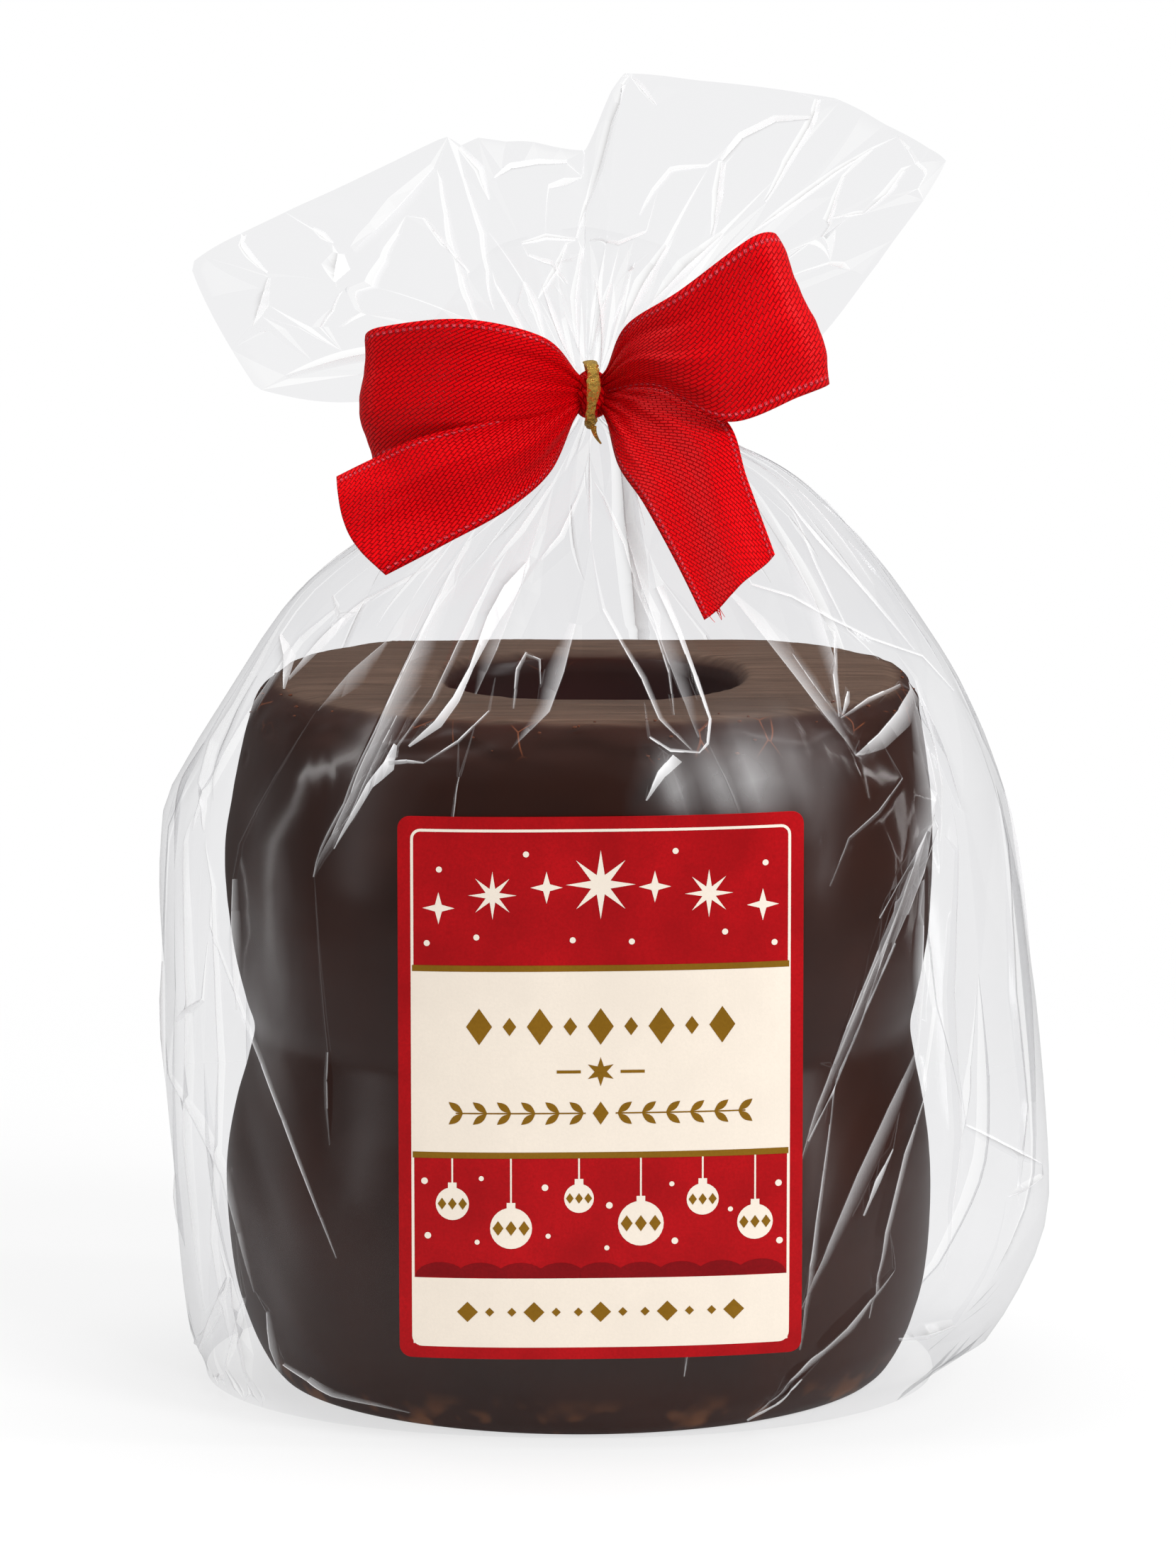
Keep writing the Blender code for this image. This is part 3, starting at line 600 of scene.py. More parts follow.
def film_mesh(name, crumple, surface, adjust, weight, split=FACET_SPLIT):
    """A mesh of crumpled film: flat facets between creases, each cut finely enough to follow the bag."""
    corners, numbers, rises = crumple.triangles()
    middle = corners.mean(axis=1)
    _, stretch = facing(surface, middle)
    stretch = np.clip(stretch, 0.05, 2)
    turns, white, lean = crease_turns(corners, numbers, rises, stretch, crumple.creases)
    spots, small = lattice(split)
    flat = np.einsum("sk,tkc->tsc", spots, corners)
    rise = np.einsum("sk,tk->ts", spots, rises[numbers])
    keyed = np.round(np.stack([flat[..., 0] % crumple.girth, flat[..., 1]], axis=-1), 3).reshape(-1, 2)
    keyed[keyed[:, 0] > crumple.girth - 0.0005, 0] = 0
    _, first, inverse = np.unique(keyed, axis=0, return_index=True, return_inverse=True)
    inverse = inverse.reshape(flat.shape[:2])
    flat, rise = flat.reshape(-1, 2)[first], rise.reshape(-1)[first]
    normal, _ = facing(surface, flat)
    points = adjust(surface(flat), normal, rise, flat)
    faces = inverse[:, small].reshape(-1, 3)
    mesh = bpy.data.meshes.new(name)
    mesh.from_pydata((points * MM).tolist(), [], faces.tolist())
    sizes = side_distances(points, inverse, spots)
    lines = sizes[:, small].reshape(-1, 3)
    store(mesh, "fold_distance", lines, "CORNER", "FLOAT_VECTOR")
    store(mesh, "crease_whitening_and_highlight", np.repeat(white, len(small) * 3, axis=0), "CORNER", "FLOAT_VECTOR")
    # Painted highlight on the folds' bright flanks and painted shade on their far flanks.
    bright, shade = painted_flank_tones(crumple, corners, spots)
    store(mesh, "flank_painted_highlight", bright[:, small].reshape(-1), "CORNER")
    store(mesh, "flank_painted_shade", shade[:, small].reshape(-1), "CORNER")
    mark_sharp(mesh, inverse, spots, turns)
    store(mesh, "soft_veil", soft_veil(points))
    # Painted light and shade: a facet that leans one way is toned greyer, one that leans the other way lighter.
    tone = np.repeat(1 + LEAN_PAINTED_TONE * np.clip(lean, -0.5, 0.5), len(small) * 3)
    store(mesh, "film_weight", weight(flat, points)[faces.reshape(-1)] * tone, "CORNER")
    mesh.shade_smooth()
    return mesh


def soft_veil(points):
    """How strongly the film's front throws back soft light at points in millimetres."""
    x, y, z = points.T
    total = np.zeros(len(points))
    for place_x, place_z, wide, tall, strength in VEILS:
        size = ((x - place_x) / wide) ** 2 + ((z - place_z) / tall) ** 2
        total += strength * np.exp(-size) * (0.75 + 0.25 * np.sin(0.9 * x + 0.35 * z))
    return np.where(y < 0, total, 0)


def painted_flank_tones(crumple, corners, spots):
    """How much painted highlight and painted shade each cut point of each facet gets, by the folds' flanks that it lies
    in.
    """
    tones = np.zeros((2, len(corners), 3))
    middle = corners.mean(axis=1)
    for kind, patch, values in crumple.flanks:
        for shift in (-crumple.girth, 0, crumple.girth):
            a, b, c = patch + [shift, 0]
            base = np.column_stack([b - a, c - a])
            if abs(np.linalg.det(base)) < 1e-6:
                continue
            inside = (middle - a) @ np.linalg.inv(base).T
            hit = np.all(inside >= 0, axis=1) & (inside.sum(axis=1) <= 1)
            if hit.any():
                at = (corners[hit] - a) @ np.linalg.inv(base).T
                tone = values[0] + at @ (values[1:] - values[0])
                tones[kind, hit] = np.maximum(tones[kind, hit], np.clip(tone, 0, 1))
    return np.einsum("sk,ntk->nts", spots, tones)


def side_distances(points, inverse, spots):
    """The distance in millimetres from each cut point to the three sides of its facet."""
    tips = points[inverse[:, [int(np.argmax(spots[:, k])) for k in range(3)]]]
    double = np.linalg.norm(np.cross(tips[:, 1] - tips[:, 0], tips[:, 2] - tips[:, 0]), axis=1)
    sides = [np.linalg.norm(tips[:, (k + 2) % 3] - tips[:, (k + 1) % 3], axis=1) for k in range(3)]
    heights = np.stack([double / np.maximum(side, 1e-6) for side in sides], axis=1)
    return heights[:, None, :] * spots[None, :, :]


def store(mesh, name, values, domain="POINT", kind="FLOAT"):
    """Keeps values on a mesh's points or corners, where its material reads them."""
    layer = mesh.attributes.new(name, kind, domain)
    field = "vector" if kind == "FLOAT_VECTOR" else "value"
    layer.data.foreach_set(field, np.ascontiguousarray(values, dtype=np.float32).ravel())


def mark_sharp(mesh, inverse, spots, turns):
    """Marks the edges along the facets' sides as sharp where the film turns sharply."""
    pairs = []
    for side in range(3):
        on_side = [k for k in range(len(spots)) if spots[k][side] == 0]
        on_side.sort(key=lambda k: spots[k][(side + 1) % 3])
        sharp = turns[:, side] > SHARP_TURN
        for one, two in zip(on_side, on_side[1:]):
            pairs.append(np.stack([inverse[sharp, one], inverse[sharp, two]], axis=1))
    pairs = np.sort(np.concatenate(pairs), axis=1)
    edges = np.zeros(len(mesh.edges) * 2, np.int32)
    mesh.edges.foreach_get("vertices", edges)
    edges = np.sort(edges.reshape(-1, 2), axis=1)
    weights = np.array([len(mesh.vertices), 1], np.int64)
    sharp = np.isin(edges @ weights, pairs @ weights)
    layer = mesh.attributes.new("sharp_edge", "BOOLEAN", "EDGE")
    layer.data.foreach_set("value", sharp)


def add_fold(crumple, crest, lit_foot, dark_foot, rise, shine):
    """A fold that stands out: its crest, the foot of its flank with painted highlight and the foot of the other, with
    painted shade.
    """
    crest, lit_foot, dark_foot = (np.array(line, float) for line in (crest, lit_foot, dark_foot))
    shares = np.linspace(0, 1, len(crest))
    swell = np.sin(math.pi * np.clip(0.12 + 0.88 * shares, 0, 1)) ** 0.7
    glow = np.clip(shine * (0.75 + 0.25 * np.sin(math.pi * shares)), 0, 1)
    spread = glow * max(0.0, 1.6 * shine - 1)
    deep = np.clip(1.25 * glow, 0, 1)
    none = np.zeros(len(crest))
    crumple.line(crest, rise * swell, min(1.0, 0.3 + 0.7 * shine) * np.maximum(swell[1:], 0.3))
    crumple.line(lit_foot, -0.25 * rise * swell, 0.5 * spread[1:])
    crumple.line(dark_foot, -0.15 * rise * swell, none[1:])
    for kind, foot, high, low in ((LIT, lit_foot, glow, spread), (DARK, dark_foot, deep, none)):
        for k in range(len(crest) - 1):
            corners = ((crest[k], crest[k + 1], foot[k + 1]), (crest[k], foot[k + 1], foot[k]))
            values = ((high[k], high[k + 1], low[k + 1]), (high[k], low[k + 1], low[k]))
            crumple.flanks += [(kind, np.array(c), np.array(v)) for c, v in zip(corners, values)]


def flat_fold(crumple, places, rise, width, shine):
    """A fold through places of the unrolled film, with an even flank that tapers to both ends."""
    places = np.array(places, float)
    swell = np.sin(math.pi * np.clip(0.12 + 0.88 * np.linspace(0, 1, len(places)), 0, 1)) ** 0.7
    ahead = unit(np.gradient(places, axis=0))
    beside = np.stack([ahead[:, 1], -ahead[:, 0]], axis=1) * width * np.maximum(swell, 0.15)[:, None]
    add_fold(crumple, places, places + beside, places - 0.8 * beside, rise, shine)


def seen_fold(crumple, seen, fold, low, high):
    """A fold where the photograph shows it, between two heights of the unrolled film."""
    points, rise, shine = fold
    steps = 2 * (len(points) - 1) + 1
    known = np.arange(len(points))
    place = np.linspace(0, known[-1], steps)
    u, v, width = (np.interp(place, known, values) for values in np.array(points, float).T)
    ahead = unit(np.stack([np.gradient(u), np.gradient(v)], axis=1))
    beside = np.stack([ahead[:, 1], -ahead[:, 0]], axis=1) * width[:, None] * FLANK_SHARE
    crest = np.stack([u, v], axis=1)
    lines = (crest, crest + beside, crest - beside)
    lines = [np.array([seen.at(*pixel) for pixel in line]) for line in lines]
    for line in lines:
        line[:, 1] = np.clip(line[:, 1], low, high)
    add_fold(crumple, *lines, FOLD_RISE * rise, shine)


def pouch_folds(crumple, random):
    """The pouch's long folds: those of the front as listed, and pleats down from the neck all round."""
    top = float(climb_at(NECK_TOP))
    seen = Seen(pouch_surface, GIRTH / 2, GIRTH, top)
    for fold in POUCH_FOLDS:
        seen_fold(crumple, seen, fold, 2.0, top - 2)
    for k in range(NECK_PLEATS):
        x = GIRTH * (k + 0.3 * random.uniform(-1, 1)) / NECK_PLEATS
        crumple.point(x, top, 0.45 * (-1) ** k)
        crumple.point(x, top - 3.2, 0.5 * (-1) ** k)
    for k in range(LONG_PLEATS):
        x = GIRTH * (k + 0.5 + 0.25 * random.uniform(-1, 1)) / LONG_PLEATS
        end = top - random.choice((16, 30, 48, 66, 84, 96))
        drift = random.uniform(-7, 7)
        steps = 3 + int((top - end) / 12)
        length = top - 7 - end
        places = [(x + drift * (j / steps) ** 1.5, top - 7 - length * j / steps) for j in range(steps + 1)]
        if not all(crumple.clear_of(px, py, 3.0 + 5.0 * (top - py) / 90) for px, py in places):
            places = places[: max(2, len(places) // 3)]
            if not all(crumple.clear_of(px, py, 2.0) for px, py in places):
                continue
        rise = random.uniform(0.9, 1.7) * (1 if k % 2 else -0.6)
        flat_fold(crumple, places, rise, random.uniform(2.6, 5.0), random.choice((0.2, 0.3, 0.5, 0.8)))
    for k in range(BACK_FOLDS):
        x = GIRTH * (k + random.uniform(-0.4, 0.4)) / BACK_FOLDS
        low = random.uniform(4, 70)
        high = low + random.uniform(25, 60)
        lean = random.uniform(-5, 5)
        places = [(x + lean * t, low + (high - low) * t) for t in (0, 0.33, 0.67, 1)]
        behind = 0 < x < GIRTH / 2
        if behind and all(crumple.clear_of(px, py, 4.0) for px, py in places):
            flat_fold(crumple, places, random.uniform(0.5, 1.1), random.uniform(1.0, 2.4), 0.3)


def streaks(crumple, random, count, low, high, lean, reach):
    """Fine short folds that run about the same way as the film's long ones, anywhere round it."""
    for _ in range(count):
        x, y = random.uniform(0, crumple.girth), random.uniform(low, high)
        length, slant = random.uniform(*reach), random.uniform(-lean, lean)
        bend = random.uniform(-0.06, 0.06) * length
        places = [(x + slant * length * t + bend * t * t, y - length * t) for t in (0, 0.3, 0.6, 1)]
        if min(py for _, py in places) > 3 and all(crumple.clear_of(px, py, 1.6) for px, py in places):
            rise, width = random.uniform(0.25, 0.6), random.uniform(0.5, 1.5)
            flat_fold(crumple, places, rise, width, random.choice((0.3, 0.5, 0.7)))


def scatter(crumple, random, tries, gap, low, high, rise):
    """Adds scattered points of small rises, none closer than the gap to another."""
    for _ in range(tries):
        x, y = random.uniform(0, crumple.girth), random.uniform(low, high)
        if crumple.clear_of(x, y, gap):
            crumple.point(x, y, random.uniform(-rise, rise))


def soft_waves(flat, random, reach, girth):
    """A soft unevenness of the film, the same at both ends of the sheet."""
    total = np.zeros(len(flat))
    for _ in range(WAVE_COUNT):
        turns = random.randint(2, 14)
        climb = random.uniform(0.02, 0.16)
        phase = random.uniform(0, 6.28)
        total += np.sin(2 * math.pi * turns * flat[:, 0] / girth + climb * flat[:, 1] + phase)
    return total * reach / 3


def cake_radius(angle, height):
    """The cake's radius in millimetres where it faces an angle, at a height."""
    left = np.interp(height, [z for _, z in CAKE_LEFT], [r for r, _ in CAKE_LEFT])
    right = np.interp(height, [z for _, z in CAKE_RIGHT], [r for r, _ in CAKE_RIGHT])
    share = (1 + np.cos(angle)) / 2
    return left + (right - left) * share


def pouch_adjust(points, normal, rise, flat):
    """Lays the film on the bag: folds stand out, and it is flat under the label and clear of the cake."""
    waves = soft_waves(flat, chance.Random(5), POUCH_WAVES, GIRTH)
    x, y, z = points.T
    label_x = ease(LABEL_WIDTH / 2 + 4, LABEL_WIDTH / 2 + 0.5, np.abs(x - LABEL_X))
    label_z = ease(LABEL_HEIGHT / 2 + 4, LABEL_HEIGHT / 2 + 0.5, np.abs(z - LABEL_Z))
    under = np.where(y < 0, label_x * label_z, 0)
    room = np.clip((np.hypot(x, y) - ROOM_RADIUS) / ROOM_GAIN, LEAST_ROOM, MOST_ROOM)
    room = np.where(z > SHOULDER_Z, SHOULDER_ROOM, room)
    near_neck = ease(NECK_TOP, NECK_TOP - 12, z)
    height = (rise * room + waves * near_neck) * (1 - under) - LABEL_PRESS * under
    height *= ease(0, 3, z)
    moved = points + normal * height[:, None]
    angle = np.arctan2(moved[:, 1], moved[:, 0])
    least = cake_radius(angle, moved[:, 2]) + FILM_CLEARANCE
    radius = np.hypot(moved[:, 0], moved[:, 1])
    low = moved[:, 2] < CLEAR_OF_CAKE_Z
    push = np.where(low & (radius < least), least / np.maximum(radius, 1), 1)
    moved[:, :2] *= push[:, None]
    moved[:, 2] = np.maximum(moved[:, 2], 0)
    return moved


def mouth_folds(crumple, random):
    """The ruffle's folds: those seen in front, sharp pleats out of the neck, and creases across them."""
    seen = Seen(mouth_surface, 0, MOUTH_BACK_END, MOUTH_REACH)
    for fold in MOUTH_FOLDS:
        seen_fold(crumple, seen, fold, 5.0, MOUTH_REACH - 1)
    for k in range(NECK_PLEATS):
        x = MOUTH_GIRTH * (k + 0.3 * random.uniform(-1, 1)) / NECK_PLEATS
        crumple.point(x, 0, 0.45 * (-1) ** k)
        crumple.point(x, 3.5, 0.7 * (-1) ** k)
    for k in range(RUFFLE_PLEATS):
        x = MOUTH_GIRTH * (k + 0.5 + 0.3 * random.uniform(-1, 1)) / RUFFLE_PLEATS
        end = random.choice((14, 22, 30, 42, 56))
        drift = random.uniform(-9, 9)
        steps = 2 + end // 9
        places = [(x + drift * j / steps, 6.5 + (end - 6.5) * j / steps) for j in range(steps + 1)]
        if all(crumple.clear_of(px, py, 1.5 + 0.05 * py) for px, py in places):
            rise = random.uniform(1.0, 2.4) * random.choice((1, -0.7))
            flat_fold(crumple, places, rise, random.uniform(2.0, 4.0), random.choice((0.2, 0.3, 0.5, 0.8)))
    for _ in range(RUFFLE_CREASES):
        x, y = random.uniform(0, MOUTH_GIRTH), random.uniform(18, 52)
        slant, reach = random.uniform(-1.2, 1.2), random.uniform(8, 20)
        across, along = math.sin(slant), math.cos(slant)
        places = [(x + reach * t * across, y + reach * t * along * 0.5) for t in (0, 0.5, 1)]
        if all(crumple.clear_of(px, py, 3.0) and py < 58 for px, py in places):
            rise, width = random.uniform(0.8, 1.8), random.uniform(0.8, 2.0)
            flat_fold(crumple, places, rise, width, random.choice((0.2, 0.4, 0.8)))
    scatter(crumple, random, MOST_TRIES["ruffle_foot"], 3.6, 8, 26, 0.8)
    scatter(crumple, random, MOST_TRIES["ruffle"], 9.0, 24, 57, 1.6)
    for k in range(RIM_POINTS):
        crumple.point(MOUTH_GIRTH * k / RIM_POINTS, MOUTH_REACH, random.uniform(-1.0, 1.0))


def mouth_adjust(points, normal, rise, flat):
    """Lays the ruffle's film on its surface: the folds grow out of the tied neck."""
    waves = soft_waves(flat, chance.Random(8), RUFFLE_WAVES, MOUTH_GIRTH)
    share = np.clip(flat[:, 1] / 20, 0, 1)
    return points + normal * (rise * (0.25 + 0.3 * share) + waves * share)[:, None]


# Cake: its outline on the left and on the right, as radius and height
CAKE_LEFT = (
    (51.5, 0), (53, 2), (56, 8), (59, 18), (60.2, 32), (58.8, 45), (56.4, 54), (55.2, 59.5),
    (56.6, 65), (59, 76), (60.2, 89), (58.7, 100), (57, 108), (55.4, 114), (53.6, 117.5), (51.0, 119.8),
)
CAKE_RIGHT = (
    (52, 0), (54, 2), (57, 8), (59.4, 18), (60.2, 32), (59.2, 45), (57.6, 54), (56.8, 59.5),
    (57.6, 65), (59.4, 76), (60.2, 89), (59.6, 100), (58.8, 108), (58.0, 114), (57.0, 117.5), (54.6, 119.8),
)
CAKE_HEIGHT = 119.8
HOLE_X = 2.6
HOLE_RADIUS = 24.6
CAKE_AROUND = 300
CAKE_SIDE_ROWS, CAKE_TOP_ROWS, CAKE_HOLE_ROWS = 150, 44, 50

# Label
LABEL_X, LABEL_Z = 3.75, 59.7
LABEL_WIDTH, LABEL_HEIGHT = 65.4, 89.0
LABEL_CORNER = 2.0
LABEL_TILT = 0.009
LABEL_GAP, LABEL_THICKNESS = 0.45, 0.4
PRINT_STEP = 0.03
UPPER_RULE, LOWER_RULE, FOOT_FIELD_TOP = (19.4, 20.4), (-11.2, -10.2), -31.0
FRAME_INSET, FRAME_CORNER, FRAME_WIDTH = (2.3, 2.2), 1.4, 0.45
STAR_PITCH, STAR_ROW_Z, STAR_SIZES, STAR_WAIST = 8.7, 33.5, (5.6, 2.6, 3.9), 0.30
LOZENGE_PITCH, LOZENGE_ROW_Z, DASH_ROW_Z, LEAF_ROW_Z, FOOT_ROW_Z = 4.9, 10.4, 3.0, -3.8, -36.6
LEAF_PITCH, FOOT_PITCH, DOT_SIDES = 3.9, 3.6, 12
TOP_DOTS = (
    (-26, 36), (-20, 25), (-12, 38.5), (-4.5, 24.5), (5, 24.2),
    (12, 38.8), (20, 25.5), (26.5, 36.5), (-28, 24), (28, 23.5),
)
LOWER_DOTS = (
    (-28.5, -15), (-19.3, -14.5), (-9, -16), (-8.5, -24), (1.4, -19), (11.5, -15.6), (12, -25),
    (21, -20), (28.8, -16), (-20, -25), (-28, -24), (1, -26), (29, -25.5),
)
# Baubles: place across, how far each hangs below the rule, and radius
BAUBLES = (
    (-24, 7.5, 2.7), (-14.5, 11.5, 3.4), (-3.5, 6.6, 2.4),
    (6.5, 10.8, 3.7), (16.5, 7.0, 2.6), (25, 11.0, 2.9),
)

# Ribbon of the bow: its two edges along each loop and each tail, out from the knot
RIBBON_WIDTH, RIBBON_LENGTH = 25.0, 270.0
RIBBON_THICKNESS = 0.3
KNOT_CENTRE = (2.3, -9.8, 167.7)
KNOT_SIZE = (6.6, 5.4, 7.4)
LOOP_BACK_KNOT, LOOP_BACK_DEPTH, BACK_RISE = -8.6, -9.6, 2.0
LEFT_LOOP_TOP = (
    (2.6, -9.8, 169.2), (-0.2, -11.6, 171.6), (-5.8, -18, 177.9),
    (-18.8, -24, 181.3), (-32.5, -21, 179.8), (-35.1, -17, 177.8),
)
LEFT_LOOP_BOTTOM = (
    (2.6, -9.8, 166.2), (-0.2, -11.2, 166.0), (-8.1, -16.5, 162.4),
    (-18.8, -20.5, 160.2), (-30.5, -20, 158.4), (-34, -16.5, 156.9),
)
RIGHT_LOOP_TOP = (
    (2, -9.8, 169.2), (4.8, -11.6, 172.2), (8.1, -17, 179.8),
    (16.9, -22, 185.9), (28.5, -23, 194.6), (32.7, -17, 194.8),
)
RIGHT_LOOP_BOTTOM = (
    (2, -9.8, 166.4), (4.8, -11.6, 168.2), (13.5, -20, 169.6),
    (24.7, -27, 164.6), (36.5, -23, 168.4), (41.6, -18, 170.2),
)
LEFT_TAIL_TOP = (
    (2.6, -9.6, 167.4), (-0.6, -11.6, 167.4), (-12, -20, 164.9),
    (-26, -25.5, 161.9), (-33.8, -26.0, 158.4), (-39.7, -28, 155.6),
)
LEFT_TAIL_BOTTOM = (
    (2.6, -9.8, 166.2), (-0.2, -11.2, 164.6), (-4.5, -16, 155.5),
    (-11.7, -22, 149.6), (-21.7, -27, 144.5), (-31.6, -31, 139.7),
)
RIGHT_TAIL_LEFT = (
    (2.0, -9.8, 166.2), (4.6, -11.4, 164.4), (6.8, -19, 156.8),
    (11, -27, 151), (16.2, -35, 142.1), (20.6, -42, 133.6),
)
RIGHT_TAIL_RIGHT = (
    (2.0, -9.6, 167.8), (5.2, -11.0, 168.6), (15, -17, 169.2),
    (24.6, -23.5, 164.4), (27.9, -30, 155.4), (32.2, -38, 143.9),
)
STRIP_ROWS = 30
LOOP_STEPS, TAIL_STEPS = 220, 120
STRIP_CROWN = 1.2
LEFT_END_BULGE, RIGHT_END_BULGE = 2.6, 0.8

# Gold tie
TIE_Z, KNOT_Z = 166.6, 167.7
NECK_RING_RADIUS = 5.1
KNOT_RING_CENTRE_Y, KNOT_RING_DEPTH, KNOT_RING_HEIGHT = -9.6, 4.3, 5.2
BAND_WIDTH, WIRE_RADIUS = 2.2, 0.6
TWIST_LENGTH, TWIST_RADIUS, TWIST_TURNS, TWIST_DROOP = 11.0, 0.75, 3, 2.0


def rough(points, scale, seed=0.0):
    """Smooth noise from about -1 to 1 at points in millimetres; scale is its size along each axis."""
    places = np.asarray(points, float) / np.asarray(scale, float) + seed
    return np.array([noise.noise(Vector(p)) for p in places])


def grid_faces(rows, columns, closed=False):
    """Four-sided faces between rows of points; closed joins each row's last point to its first."""
    across = np.arange(columns if closed else columns - 1)
    after = (across + 1) % columns
    strip = np.stack([across, after, columns + after, columns + across], axis=1)
    return np.concatenate([strip + row * columns for row in range(rows - 1)])


def new_mesh(name, points, faces, smooth=True):
    """A mesh from points in millimetres."""
    mesh = bpy.data.meshes.new(name)
    mesh.from_pydata((np.asarray(points, float) * MM).tolist(), [], [list(map(int, f)) for f in faces])
    if smooth:
        mesh.shade_smooth()
    return mesh


def new_piece(name, mesh, material):
    """An object that rides on the part's one body."""
    piece = bpy.data.objects.new(name, mesh)
    bpy.context.scene.collection.objects.link(piece)
    mesh.materials.clear()
    mesh.materials.append(material)
    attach(piece, "root")
    return piece


def circle(angle, radius, x=0.0):
    """Level places on a circle about a place on the X axis, at angles."""
    return np.stack([x + radius * np.cos(angle), radius * np.sin(angle)], axis=1)


def cake_mesh():
    """The chocolate cake: two soft lobes turned on an uneven outline, a streaky top and a deep round hole."""
    angle = np.linspace(0, 2 * math.pi, CAKE_AROUND, endpoint=False)
    side_z = CAKE_HEIGHT * (1 - np.cos(np.linspace(0, math.pi, CAKE_SIDE_ROWS))) / 2
    side_z = 0.5 * side_z + 0.5 * np.linspace(0, CAKE_HEIGHT, CAKE_SIDE_ROWS)
    rings = []
    left = through([(r, 0, z) for r, z in CAKE_LEFT], np.linspace(0, 1, 200))
    right = through([(r, 0, z) for r, z in CAKE_RIGHT], np.linspace(0, 1, 200))
    around = (1 + np.cos(angle)) / 2
    for z in side_z:
        radius_left = np.interp(z, left[:, 2], left[:, 0])
        radius_right = np.interp(z, right[:, 2], right[:, 0])
        radius = radius_left + (radius_right - radius_left) * around
        rings.append(np.column_stack([circle(angle, radius), np.full(CAKE_AROUND, z)]))
    rim = rings[-1]
    hole = circle(angle, HOLE_RADIUS, HOLE_X)
    for share in np.linspace(0, 1, CAKE_TOP_ROWS)[1:]:
        flat = rim[:, :2] + (hole - rim[:, :2]) * share
        edge = np.minimum(share, 1 - share)
        lift = 0.5 * float(ease(0, 0.10, share)) - 1.7 * float(ease(0.90, 1.0, share)) ** 2
        rings.append(np.column_stack([flat, np.full(CAKE_AROUND, CAKE_HEIGHT + lift + 0.3 * edge)]))
    for share in np.linspace(0, 1, CAKE_HOLE_ROWS)[1:]:
        z = (CAKE_HEIGHT - 1.2) * (1 - share)
        inner = HOLE_RADIUS - 1.4 * float(ease(0, 0.12, share)) + 0.8 * math.sin(9 * share)
        rings.append(np.column_stack([circle(angle, inner, HOLE_X), np.full(CAKE_AROUND, z)]))
    points = np.concatenate(rings)
    faces = grid_faces(len(rings), CAKE_AROUND, closed=True)
    foot = np.arange(CAKE_AROUND)
    bottom = np.stack([foot, (len(rings) - 1) * CAKE_AROUND + foot], axis=1)
    base = [(a, c, d, b) for (a, c), (b, d) in zip(bottom, np.roll(bottom, -1, axis=0))]
    mesh = new_mesh("cake", cake_relief(points, len(rings)), np.concatenate([faces, base]))
    row = np.repeat(np.arange(len(rings)), CAKE_AROUND)
    past_top = row - (CAKE_SIDE_ROWS + CAKE_TOP_ROWS - 3)
    store(mesh, "in_hole", ease(0, 3, past_top))
    store(mesh, "on_top", ease(-3, 1, row - CAKE_SIDE_ROWS) * ease(1, -2, past_top))
    return mesh


def cake_relief(points, rows):
    """Lumps, dipping ridges and brush streaks of set chocolate."""
    x, y, z = points.T
    row = np.repeat(np.arange(rows), CAKE_AROUND)
    side = row < CAKE_SIDE_ROWS
    hole = row >= CAKE_SIDE_ROWS + CAKE_TOP_ROWS - 1
    radius = np.maximum(np.hypot(x, y), 1)
    out = np.stack([x / radius, y / radius, np.zeros_like(x)], axis=1)
    lumps = 0.55 * rough(points, (26, 26, 20), 3.1)
    ridges = 0.05 * rough(points, (22, 22, 3.4), 8.4)
    rim = ease(110, 117, z) * 0.9 * rough(points, (7, 7, 4), 5.7)
    dents = -1.2 * ease(0.45, 0.75, rough(points, (9, 9, 7), 11.3)) * ease(104, 112, z)
    shift = np.where(side, (lumps + ridges + rim + dents) * ease(0, 3, z), 0)
    shift = np.where(hole, 0.5 * rough(points, (8, 8, 22), 1.9) * ease(0, 3, z), shift)
    streaks = 0.16 * rough(points, (24, 1.1, 5), 6.6) + 0.28 * rough(points, (17, 9, 9), 4.4)
    lift = np.where(side, 0, np.where(hole, 0, streaks))
    lift += np.where(side, ease(116.5, 119.8, z) * 0.25 * rough(points, (6, 6, 6), 9.2), 0)
    back = ease(-20, 18, y) * ease(57, 36, y)
    lift -= (1.9 - 2.2 * back) * ease(108, 118.5, z)
    return points + out * np.where(side, shift, -shift)[:, None] + np.array([[0, 0, 1]]) * lift[:, None]


def crumb_mesh(random):
    """Small crumbs that broke out along the cake's top edge, as one mesh."""
    points, faces = [], []
    for _ in range(CRUMBS):
        angle = random.uniform(0, 2 * math.pi)
        z = random.choice((118.6, 117.0, 115.2, 113.0)) + random.uniform(-0.6, 0.8)
        radius = float(cake_radius(np.array([angle]), z)[0]) - 0.2
        size = random.uniform(0.16, 0.36)
        centre = np.array([radius * math.cos(angle), radius * math.sin(angle), z])
        start = len(points)
        for ring, (height, wide) in enumerate(((-0.5, 0.7), (0.3, 1.0), (0.8, 0.45))):
            for k in range(6):
                turn = 2 * math.pi * (k + 0.5 * ring) / 6
                jitter = random.uniform(0.7, 1.2)
                offset = np.array([math.cos(turn) * wide * 1.5, math.sin(turn) * wide, height])
                points.append(centre + offset * size * jitter)
        for ring in range(2):
            for k in range(6):
                a, b = start + 6 * ring + k, start + 6 * ring + (k + 1) % 6
                faces.append((a, b, b + 6, a + 6))
        faces.append(tuple(start + 12 + k for k in range(6)))
        faces.append(tuple(start + 5 - k for k in range(6)))
    return new_mesh("cake_crumbs", points, faces)


